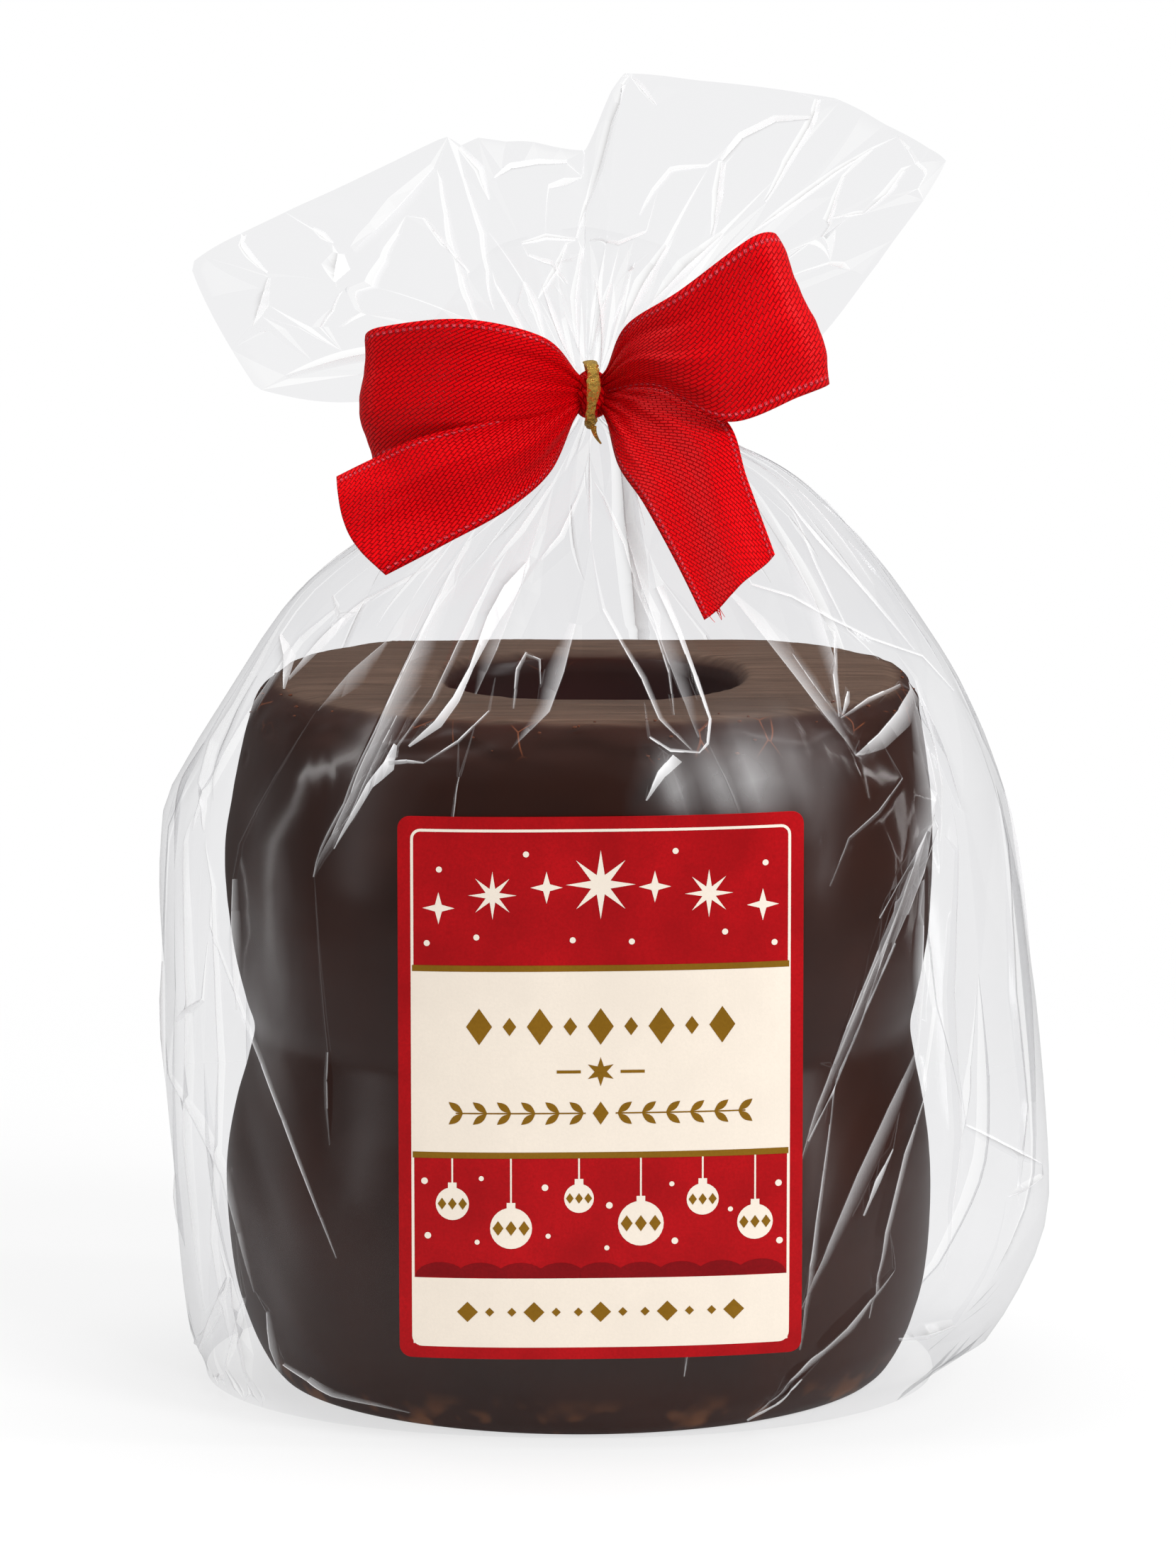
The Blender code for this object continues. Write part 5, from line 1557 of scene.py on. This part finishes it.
def chocolate_material(settings):
    """Dark couverture, poured over the cake and set. Its sides are smooth and softly glossy, its top is dull
    and streaked where the knife levelled it, with a painted sheen that colours it lighter and greyer than the sides,
    the hole's wall is coloured darker and redder as painted shade, and thin edges crack open to the orange-brown crust."""
    material, tree, output = start_material("Dark couverture, poured and set")
    place = in_millimetres(tree)
    apart = node(tree, "ShaderNodeSeparateXYZ", {0: place})
    top = node(tree, "ShaderNodeAttribute", attribute_name="on_top")
    stretched = node(tree, "ShaderNodeVectorMath", {0: place, 1: (0.05, 0.9, 0.5)}, operation="MULTIPLY")
    streak = node(tree, "ShaderNodeTexNoise", {"Vector": stretched.outputs[0], "Scale": 1.0, "Detail": 2.0, "Roughness": 0.5})
    layered = node(tree, "ShaderNodeVectorMath", {0: place, 1: (0.05, 0.05, 0.16)}, operation="MULTIPLY")
    ridge = node(tree, "ShaderNodeTexNoise", {"Vector": layered.outputs[0], "Scale": 1.0, "Detail": 1.0, "Roughness": 0.5})
    cloud = node(tree, "ShaderNodeTexNoise", {"Vector": place, "Scale": 0.045, "Detail": 4.0, "Roughness": 0.55})
    side = node(tree, "ShaderNodeMix", {0: cloud.outputs["Fac"], 6: rgba(settings.dark), 7: rgba(settings.brown)}, data_type="RGBA")
    # The top's streaks are coloured lighter and greyer than the sides: a painted sheen.
    top_streaks_and_sheen = node(tree, "ShaderNodeMix", {0: streak.outputs["Fac"], 6: rgba(settings.top_dark_with_sheen), 7: rgba(settings.top_light_with_sheen)}, data_type="RGBA")
    coat = node(tree, "ShaderNodeMix", {0: top.outputs["Fac"], 6: side.outputs[2], 7: top_streaks_and_sheen.outputs[2]}, data_type="RGBA")
    crack = node(tree, "ShaderNodeTexVoronoi", {"Vector": place, "Scale": 0.11, "Randomness": 1.0}, feature="DISTANCE_TO_EDGE")
    thin = node(tree, "ShaderNodeMapRange", {"Value": crack.outputs["Distance"], "From Min": 0.006, "From Max": 0.017, "To Min": 0.9, "To Max": 0.0})
    patch = node(tree, "ShaderNodeTexNoise", {"Vector": place, "Scale": 0.12, "Detail": 2.0})
    here = node(tree, "ShaderNodeMapRange", {"Value": patch.outputs["Fac"], "From Min": 0.54, "From Max": 0.62})
    high = node(tree, "ShaderNodeMapRange", {"Value": apart.outputs[2], "From Min": 111.5, "From Max": 115.0})
    low = node(tree, "ShaderNodeMapRange", {"Value": apart.outputs[2], "From Min": 118.8, "From Max": 117.0})
    band = node(tree, "ShaderNodeMath", {0: high.outputs[0], 1: low.outputs[0]}, operation="MULTIPLY")
    broken = node(tree, "ShaderNodeMath", {0: thin.outputs[0], 1: here.outputs[0]}, operation="MULTIPLY")
    cracked = node(tree, "ShaderNodeMath", {0: broken.outputs[0], 1: band.outputs[0]}, operation="MULTIPLY")
    worn = node(tree, "ShaderNodeMix", {0: cracked.outputs[0], 6: coat.outputs[2], 7: rgba(settings.crust)}, data_type="RGBA")
    foot = node(tree, "ShaderNodeMapRange", {"Value": apart.outputs[2], "From Min": 7.0, "From Max": 1.5})
    amber = node(tree, "ShaderNodeMath", {0: foot.outputs[0], 1: here.outputs[0]}, operation="MULTIPLY")
    thin_foot = node(tree, "ShaderNodeMath", {0: amber.outputs[0], 1: 0.6}, operation="MULTIPLY")
    footed = node(tree, "ShaderNodeMix", {0: thin_foot.outputs[0], 6: worn.outputs[2], 7: rgba(settings.amber)}, data_type="RGBA")
    # The hole's wall is coloured darker and redder than the sides: painted shade of the deep hole, tinted deep red.
    inside = node(tree, "ShaderNodeAttribute", attribute_name="in_hole")
    colour = node(tree, "ShaderNodeMix", {0: inside.outputs["Fac"], 6: footed.outputs[2], 7: rgba(settings.hole)}, data_type="RGBA")
    rough_mix = node(tree, "ShaderNodeMapRange", {"Value": top.outputs["Fac"], "To Min": settings.roughness, "To Max": 0.5})
    relief = node(tree, "ShaderNodeMix", {0: top.outputs["Fac"], 2: ridge.outputs["Fac"], 3: streak.outputs["Fac"]}, data_type="FLOAT")
    bump = node(tree, "ShaderNodeBump", {"Height": relief.outputs[0], "Strength": 0.15, "Distance": 0.0004})
    shader = node(tree, "ShaderNodeBsdfPrincipled", {"Base Color": colour.outputs[2], "Roughness": rough_mix.outputs[0], "IOR": 1.46, "Normal": bump.outputs[0]})
    tree.links.new(shader.outputs[0], output.inputs["Surface"])
    return material


def crumb_material(settings):
    """Baked crust crumbs, orange-brown and dry."""
    material, tree, output = start_material("Baked crust crumbs")
    grain = node(tree, "ShaderNodeTexNoise", {"Vector": in_millimetres(tree), "Scale": 1.5, "Detail": 3.0})
    colour = node(tree, "ShaderNodeMix", {0: grain.outputs["Fac"], 6: rgba(settings.brown), 7: rgba(settings.crust)}, data_type="RGBA")
    shader = node(tree, "ShaderNodeBsdfPrincipled", {"Base Color": colour.outputs[2], "Roughness": 0.5, "IOR": 1.5})
    tree.links.new(shader.outputs[0], output.inputs["Surface"])
    return material


def ink_material(name, colour, roughness, speckle, metallic=0.0):
    """Ink on coated label paper: a flat colour that the paper's fibres mottle, under a thin satin varnish."""
    material, tree, output = start_material(name)
    place = in_millimetres(tree)
    fibre = node(tree, "ShaderNodeTexNoise", {"Vector": place, "Scale": 2.2, "Detail": 4.0, "Roughness": 0.7})
    cloud = node(tree, "ShaderNodeTexNoise", {"Vector": place, "Scale": 0.10, "Detail": 2.0})
    both = node(tree, "ShaderNodeMath", {0: fibre.outputs["Fac"], 1: cloud.outputs["Fac"]}, operation="MULTIPLY")
    spread = node(tree, "ShaderNodeMapRange", {"Value": both.outputs[0], "From Min": 0.12, "From Max": 0.40, "To Min": 1 - speckle, "To Max": 1.0})
    toned = node(tree, "ShaderNodeVectorMath", {0: tuple(colour)[:3], "Scale": spread.outputs[0]}, operation="SCALE")
    bump = node(tree, "ShaderNodeBump", {"Height": fibre.outputs["Fac"], "Strength": 0.25, "Distance": 0.00008})
    shader = node(tree, "ShaderNodeBsdfPrincipled", {"Base Color": toned.outputs[0], "Roughness": roughness, "Metallic": metallic, "IOR": 1.5, "Specular IOR Level": 0.12, "Normal": bump.outputs[0]})
    tree.links.new(shader.outputs[0], output.inputs["Surface"])
    return material


def satin_material(settings):
    """Polyester satin ribbon, woven in a slanting twill. Its floats flash in short dashes along the slant,
    and a row of edge stitches runs inside each selvedge. The rib is drawn at 0.64 mm, coarser than it is."""
    material, tree, output = start_material("Polyester satin ribbon, woven")
    along = node(tree, "ShaderNodeAttribute", attribute_name="cloth_along")
    across = node(tree, "ShaderNodeAttribute", attribute_name="cloth_across")
    cloth = node(tree, "ShaderNodeCombineXYZ", {0: along.outputs["Fac"], 1: across.outputs["Fac"], 2: 0.0})
    slant = node(tree, "ShaderNodeMapping", {0: cloth.outputs[0], "Rotation": (0, 0, math.radians(-32))})
    weave = node(tree, "ShaderNodeTexBrick", {"Vector": slant.outputs[0], "Scale": 1.0, "Mortar Size": 0.12, "Mortar Smooth": 1.0, "Brick Width": 1.7, "Row Height": 0.64}, offset=0.5)
    edge_far = node(tree, "ShaderNodeMath", {0: RIBBON_WIDTH, 1: across.outputs["Fac"]}, operation="SUBTRACT")
    edge = node(tree, "ShaderNodeMath", {0: across.outputs["Fac"], 1: edge_far.outputs[0]}, operation="MINIMUM")
    off = node(tree, "ShaderNodeMath", {0: edge.outputs[0], 1: 1.25}, operation="SUBTRACT")
    off_size = node(tree, "ShaderNodeMath", {0: off.outputs[0]}, operation="ABSOLUTE")
    row = node(tree, "ShaderNodeMapRange", {"Value": off_size.outputs[0], "From Min": 0.15, "From Max": 0.42, "To Min": 1.0, "To Max": 0.0}, interpolation_type="SMOOTHSTEP")
    beat = node(tree, "ShaderNodeMath", {0: along.outputs["Fac"], 1: 0.55}, operation="PINGPONG")
    dash = node(tree, "ShaderNodeMapRange", {"Value": beat.outputs[0], "From Min": 0.16, "From Max": 0.36}, interpolation_type="SMOOTHSTEP")
    stitch = node(tree, "ShaderNodeMath", {0: row.outputs[0], 1: dash.outputs[0]}, operation="MULTIPLY")
    thread = node(tree, "ShaderNodeTexNoise", {"Vector": slant.outputs[0], "Scale": 1.8, "Detail": 3.0, "Roughness": 0.6})
    tone = node(tree, "ShaderNodeMix", {0: thread.outputs["Fac"], 6: rgba(settings.shade), 7: rgba(settings.red)}, data_type="RGBA")
    # Painted shade: the gaps between the twill's ribs take the shade colour, and thread noise mixes the lit red with
    # it.
    gap = node(tree, "ShaderNodeMath", {0: weave.outputs["Fac"], 1: 0.6}, operation="MULTIPLY")
    woven = node(tree, "ShaderNodeMix", {0: gap.outputs[0], 6: tone.outputs[2], 7: rgba(settings.shade)}, data_type="RGBA")
    colour = node(tree, "ShaderNodeMix", {0: stitch.outputs[0], 6: woven.outputs[2], 7: rgba(settings.stitch)}, data_type="RGBA")
    solid = node(tree, "ShaderNodeMath", {0: 1.0, 1: weave.outputs["Fac"]}, operation="SUBTRACT")
    height = node(tree, "ShaderNodeMath", {0: stitch.outputs[0], 1: 1.4, 2: solid.outputs[0]}, operation="MULTIPLY_ADD")
    bump = node(tree, "ShaderNodeBump", {"Height": height.outputs[0], "Strength": 1.0, "Distance": 0.0003})
    shader = node(
        tree,
        "ShaderNodeBsdfPrincipled",
        {"Base Color": colour.outputs[2], "Roughness": settings.roughness, "IOR": 1.5, "Specular IOR Level": 0.62, "Specular Tint": rgba(settings.sheen), "Normal": bump.outputs[0]},
    )
    tree.links.new(shader.outputs[0], output.inputs["Surface"])
    return material


def foil_material(settings):
    """Gold-lacquered aluminium foil round a wire, crumpled as it was twisted, so that small flats flash."""
    material, tree, output = start_material("Gold-lacquered aluminium foil, crumpled")
    place = in_millimetres(tree)
    flats = node(tree, "ShaderNodeTexVoronoi", {"Vector": place, "Scale": 1.3, "Randomness": 1.0}, feature="F1")
    creases = node(tree, "ShaderNodeTexNoise", {"Vector": place, "Scale": 1.1, "Detail": 3.0, "Roughness": 0.6})
    height = node(tree, "ShaderNodeMath", {0: flats.outputs["Distance"], 1: 0.8, 2: creases.outputs["Fac"]}, operation="MULTIPLY_ADD")
    bump = node(tree, "ShaderNodeBump", {"Height": height.outputs[0], "Strength": 0.8, "Distance": 0.0005})
    shader = node(tree, "ShaderNodeBsdfPrincipled", {"Base Color": rgba(settings.gold), "Metallic": 0.8, "Roughness": 0.22, "Normal": bump.outputs[0]})
    tree.links.new(shader.outputs[0], output.inputs["Surface"])
    return material


def floor_material(settings):
    """Matt white table paper, evenly lit, that fades out to the white background."""
    material, tree, output = start_material("Matt white paper sweep")
    place = in_millimetres(tree)
    length = node(tree, "ShaderNodeVectorMath", {0: place}, operation="LENGTH")
    grain = node(tree, "ShaderNodeTexNoise", {"Vector": place, "Scale": 1.2, "Detail": 2.0})
    bump = node(tree, "ShaderNodeBump", {"Height": grain.outputs["Fac"], "Strength": 0.05, "Distance": 0.0001})
    matt = node(tree, "ShaderNodeBsdfDiffuse", {"Color": (settings.floor_white,) * 3 + (1,), "Normal": bump.outputs[0]})
    path = node(tree, "ShaderNodeLightPath")
    glow = node(tree, "ShaderNodeMapRange", {"Value": path.outputs["Is Glossy Ray"], "To Min": settings.floor_glow, "To Max": 0.1})
    lit = node(tree, "ShaderNodeEmission", {"Color": (1, 1, 1, 1), "Strength": glow.outputs[0]})
    paper = node(tree, "ShaderNodeAddShader", {0: matt.outputs[0], 1: lit.outputs[0]})
    clear = node(tree, "ShaderNodeBsdfTransparent")
    fade = node(tree, "ShaderNodeMapRange", {"Value": length.outputs["Value"], "From Min": 190.0, "From Max": 420.0}, interpolation_type="SMOOTHSTEP")
    mix = node(tree, "ShaderNodeMixShader", {0: fade.outputs[0], 1: paper.outputs[0], 2: clear.outputs[0]})
    tree.links.new(mix.outputs[0], output.inputs["Surface"])
    return material


def make_world(settings):
    """A white background for the camera, and grey studio walls for reflections and soft fill."""
    world = bpy.data.worlds.new("White studio")
    world.use_nodes = True
    tree = world.node_tree
    tree.nodes.clear()
    path = node(tree, "ShaderNodeLightPath")
    seen = node(tree, "ShaderNodeBackground", {"Color": (1, 1, 1, 1), "Strength": 1.0})
    fill = node(tree, "ShaderNodeBackground", {"Color": (1, 1, 1, 1), "Strength": settings.fill})
    way = node(tree, "ShaderNodeTexCoord")
    apart = node(tree, "ShaderNodeSeparateXYZ", {0: way.outputs["Generated"]})
    room = {"Value": apart.outputs[2], "From Min": 0.3, "From Max": 0.85, "To Min": settings.walls, "To Max": settings.ceiling}
    level = node(tree, "ShaderNodeMapRange", room, interpolation_type="SMOOTHSTEP")
    mirror = node(tree, "ShaderNodeBackground", {"Color": (1, 0.97, 0.95, 1), "Strength": level.outputs[0]})
    other = node(tree, "ShaderNodeMixShader", {0: path.outputs["Is Glossy Ray"], 1: fill.outputs[0], 2: mirror.outputs[0]})
    both = node(tree, "ShaderNodeMixShader", {0: path.outputs["Is Camera Ray"], 1: other.outputs[0], 2: seen.outputs[0]})
    output = node(tree, "ShaderNodeOutputWorld")
    tree.links.new(both.outputs[0], output.inputs["Surface"])
    bpy.context.scene.world = world


def soft_box(name, place, target, size, power):
    """A rectangular soft box that faces a point; places are in millimetres."""
    light = bpy.data.lights.new(name, "AREA")
    light.shape = "RECTANGLE"
    light.size, light.size_y = size[0] * MM, size[1] * MM
    light.energy = power
    lamp = bpy.data.objects.new(name, light)
    bpy.context.scene.collection.objects.link(lamp)
    lamp.location = Vector(place) * MM
    aim = (Vector(target) - Vector(place)).to_track_quat("-Z", "Y")
    lamp.rotation_euler = aim.to_euler()
    return lamp


def colour_setting(name, description, code):
    return FloatVectorProperty(name=name, description=description, subtype="COLOR", default=linear(code))


def share_setting(name, description, default):
    return FloatProperty(name=name, description=description, default=default, min=0, max=1)


def strength_setting(name, description, default):
    return FloatProperty(name=name, description=description, default=default, min=0)


class RING_PG_film(bpy.types.PropertyGroup):
    tint: colour_setting("Tint", "What one layer of film lets through", "#F3F3F4")
    mirror: share_setting("Mirror", "Share of light that a pane throws straight back", 0.032)
    roughness: share_setting("Roughness", "Blur of the film's reflections", 0.17)
    # Painted highlight: how white the folds' bright flanks are painted.
    flank: share_setting("Fold flanks", "How white the bright flanks of folds are", 0.9)
    # Painted shade on the folds' far flanks, and its grey.
    shade: share_setting("Fold shade", "How grey the far flanks of folds are", 0.55)
    fold: colour_setting("Fold grey", "Grey of folded film against the light", "#A9A7A6")
    seed: IntProperty(name="Folds", description="Draw of the folds at the sides and back", default=4)


class RING_PG_cake(bpy.types.PropertyGroup):
    dark: colour_setting("Dark chocolate", "Darker tone of the coat", "#230B04")
    brown: colour_setting("Brown chocolate", "Lighter tone of the coat", "#3B1708")
    # The top's two streak colours also carry a painted sheen, lighter and greyer than the sides.
    top_dark_with_sheen: colour_setting("Top, dark", "Darker streaks on the top", "#38261B")
    top_light_with_sheen: colour_setting("Top, light", "Lighter streaks on the top", "#7A6151")
    crust: colour_setting("Crust", "Crust in cracks and crumbs", "#7E4426")
    # Painted shade: the hole's wall is coloured darker and redder than the sides.
    hole: colour_setting("Hole", "Wall of the hole", "#300503")
    amber: colour_setting("Amber", "Thin chocolate at the foot", "#7A4A28")
    roughness: share_setting("Roughness", "Blur of the sides' gloss", 0.30)


class RING_PG_label(bpy.types.PropertyGroup):
    red: colour_setting("Red", "Red ground", "#B40C14")
    dark: colour_setting("Dark red", "Red shapes on the ground", "#8A0A12")
    cream: colour_setting("Cream", "Cream fields and shapes", "#F1E5D6")
    gold: colour_setting("Gold", "Gold rules and ornament", "#9A6F1E")


class RING_PG_bow(bpy.types.PropertyGroup):
    red: colour_setting("Red", "Ribbon in the light", "#FA040C")
    shade: colour_setting("Shade", "Ribbon between its ribs", "#B4000A")
    stitch: colour_setting("Stitches", "Edge stitches", "#F24E5A")
    sheen: colour_setting("Sheen", "Gloss of the satin", "#FF6464")
    gold: colour_setting("Gold", "Foil of the tie", "#F6C860")
    roughness: share_setting("Roughness", "Blur of the satin's gloss", 0.38)


class RING_PG_stage(bpy.types.PropertyGroup):
    floor_radius: FloatProperty(name="Floor", description="Radius of the floor", default=0.6, unit="LENGTH")
    floor_white: share_setting("Floor tone", "Share of light the floor gives back", 0.22)
    floor_glow: strength_setting("Floor glow", "Even light of the white floor", 0.70)
    fill: strength_setting("Fill", "Strength of the even fill light", 0.46)
    walls: strength_setting("Walls", "Brightness of the walls that the film mirrors", 0.10)
    ceiling: strength_setting("Ceiling", "Brightness of the ceiling that the film mirrors", 0.24)
    lights: strength_setting("Lights", "Power of all the soft boxes, as a share", 1.0)


class RING_PG_settings(bpy.types.PropertyGroup):
    film: PointerProperty(type=RING_PG_film)
    cake: PointerProperty(type=RING_PG_cake)
    label: PointerProperty(type=RING_PG_label)
    bow: PointerProperty(type=RING_PG_bow)
    stage: PointerProperty(type=RING_PG_stage)


class RING_OT_cake(bpy.types.Operator):
    """Adds the chocolate ring cake and the crumbs on its edge"""

    bl_idname = "ring_cake.add_cake"
    bl_label = "Cake"

    def execute(self, context):
        settings = context.scene.ring_cake.cake
        cake = new_piece("cake", cake_mesh(), chocolate_material(settings))
        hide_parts("bag")
        new_piece("cake_crumbs", crumb_mesh(chance.Random(3)), crumb_material(settings))
        return {"FINISHED"}


class RING_OT_film(bpy.types.Operator):
    """Adds the clear film: the pouch round the cake and the ruffled mouth above its tie"""

    bl_idname = "ring_cake.add_film"
    bl_label = "Film bag"

    def execute(self, context):
        settings = context.scene.ring_cake.film
        material = film_material(settings)
        random = chance.Random(settings.seed)
        pouch = Crumple(GIRTH)
        top = float(climb_at(NECK_TOP))
        pouch_folds(pouch, random)
        streaks(pouch, random, NECK_STREAKS, top - 45, top - 8, 0.35, (8, 26))
        streaks(pouch, random, WALL_STREAKS, 30, top - 45, 0.25, (10, 30))
        scatter(pouch, random, MOST_TRIES["neck"], 6.5, top - 62, top - 12, 0.5)
        scatter(pouch, random, MOST_TRIES["wall"], 9.5, 4, top - 60, 0.6)
        for k in range(FOOT_POINTS):
            pouch.point(GIRTH * k / FOOT_POINTS, 0, 0)
        mesh = film_mesh("film_pouch", pouch, pouch_surface, pouch_adjust, pouch_weight)
        piece = new_piece("film_pouch", mesh, material)
        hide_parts("bag")
        mouth = Crumple(MOUTH_GIRTH)
        mouth_folds(mouth, random)
        mesh = film_mesh("film_mouth", mouth, mouth_surface, mouth_adjust, mouth_weight)
        new_piece("film_mouth", mesh, material)
        new_piece("film_base", base_mesh(), material)
        return {"FINISHED"}


def base_mesh():
    """The film's flat bottom, under the cake."""
    rings, around = 12, 120
    angle = np.linspace(0, 2 * math.pi, around, endpoint=False)
    edge = bag_points(angle, np.zeros(around))
    points = np.concatenate([edge * [share, share, 1] for share in np.linspace(1, 0.02, rings)])
    points[:, 2] = 0.15
    return new_mesh("film_base", points, grid_faces(rings, around, closed=True)[:, ::-1])


class RING_OT_label(bpy.types.Operator):
    """Adds the label's paper and its printed shapes"""

    bl_idname = "ring_cake.add_label"
    bl_label = "Label"

    def execute(self, context):
        settings = context.scene.ring_cake.label
        paper = ink_material("Red ink on coated paper", settings.red, 0.42, 0.30)
        piece = new_piece("label_paper", label_paper_mesh(), paper)
        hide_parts("label")
        inks = {
            "label_cream": ink_material("Uncoloured coated paper, cream", settings.cream, 0.5, 0.06),
            "label_gold": ink_material("Gold bronze ink", settings.gold, 0.4, 0.2, 0.3),
            "label_dark": ink_material("Dark red ink on coated paper", settings.dark, 0.42, 0.3),
        }
        for name, shapes in label_prints().items():
            new_piece(name, shapes.mesh(name), inks[name])
        return {"FINISHED"}


class RING_OT_bow(bpy.types.Operator):
    """Adds the satin bow: ribbon, gathered knot and loose threads"""

    bl_idname = "ring_cake.add_bow"
    bl_label = "Satin bow"

    def execute(self, context):
        settings = context.scene.ring_cake.bow
        material = satin_material(settings)
        bow = new_piece("satin_bow", bow_mesh(), material)
        wall = bow.modifiers.new("cloth", "SOLIDIFY")
        wall.thickness = RIBBON_THICKNESS * MM
        wall.offset = 0
        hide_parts("bow")
        knot = new_piece("bow_knot", knot_mesh(), material)
        threads = new_piece("bow_threads", fray_mesh(chance.Random(6)), material)
        return {"FINISHED"}


class RING_OT_tie(bpy.types.Operator):
    """Adds the gold tie round the neck and the bow's middle"""

    bl_idname = "ring_cake.add_tie"
    bl_label = "Gold tie"

    def execute(self, context):
        material = foil_material(context.scene.ring_cake.bow)
        piece = new_piece("gold_tie_foil", tie_mesh(), material)
        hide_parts("gold_tie")
        return {"FINISHED"}


class RING_OT_stage(bpy.types.Operator):
    """Adds the floor, the lights, the background and the camera"""

    bl_idname = "ring_cake.add_stage"
    bl_label = "Stage"

    def execute(self, context):
        scene = context.scene
        settings = scene.ring_cake.stage
        around = np.linspace(0, 2 * math.pi, FLOOR_SIDES, endpoint=False)
        rim = np.stack([np.cos(around), np.sin(around), 0 * around], axis=1) * settings.floor_radius / MM
        floor = bpy.data.objects.new("floor", new_mesh("floor", rim, [tuple(range(len(rim)))]))
        floor.location.z = -FLOOR_GAP * MM
        floor.data.materials.append(floor_material(settings))
        scene.collection.objects.link(floor)
        make_world(settings)
        for name, place, size, power, mirrored in SOFT_BOXES:
            lamp = soft_box(name, place, LIT_MIDDLE, size, power * settings.lights)
            lamp.visible_glossy = mirrored
        camera = bpy.data.cameras.new("camera")
        camera.lens, camera.sensor_width = CAMERA_LENS, CAMERA_SENSOR
        camera.clip_start, camera.clip_end = CAMERA_RANGE
        viewer = bpy.data.objects.new("camera", camera)
        scene.collection.objects.link(viewer)
        viewer.location = Vector(CAMERA_PLACE) * MM
        viewer.rotation_euler = (math.radians(CAMERA_TILT), 0, 0)
        scene.camera = viewer
        scene.view_settings.view_transform = "Standard"
        scene.cycles.transparent_max_bounces = 32
        return {"FINISHED"}


class RING_PT_panel(bpy.types.Panel):
    bl_label = "Ring cake"
    bl_idname = "RING_PT_panel"
    bl_space_type = "VIEW_3D"
    bl_region_type = "UI"
    bl_category = "Ring cake"

    def draw(self, context):
        settings = context.scene.ring_cake
        for operator in OPERATORS:
            self.layout.operator(operator.bl_idname)
        for group in (settings.film, settings.cake, settings.label, settings.bow, settings.stage):
            box = self.layout.box()
            for name in group.bl_rna.properties.keys():
                if name not in ("rna_type", "name"):
                    box.prop(group, name)


GROUPS = (RING_PG_film, RING_PG_cake, RING_PG_label, RING_PG_bow, RING_PG_stage, RING_PG_settings)
OPERATORS = (RING_OT_stage, RING_OT_cake, RING_OT_film, RING_OT_label, RING_OT_bow, RING_OT_tie)


def register():
    for group in GROUPS + OPERATORS + (RING_PT_panel,):
        bpy.utils.register_class(group)
    bpy.types.Scene.ring_cake = PointerProperty(type=RING_PG_settings)


def unregister():
    del bpy.types.Scene.ring_cake
    for group in reversed(GROUPS + OPERATORS + (RING_PT_panel,)):
        bpy.utils.unregister_class(group)


def main():
    register()
    bpy.ops.ring_cake.add_stage()
    bpy.ops.ring_cake.add_cake()
    bpy.ops.ring_cake.add_film()
    bpy.ops.ring_cake.add_label()
    bpy.ops.ring_cake.add_bow()
    bpy.ops.ring_cake.add_tie()


if __name__ == "__main__":
    main()
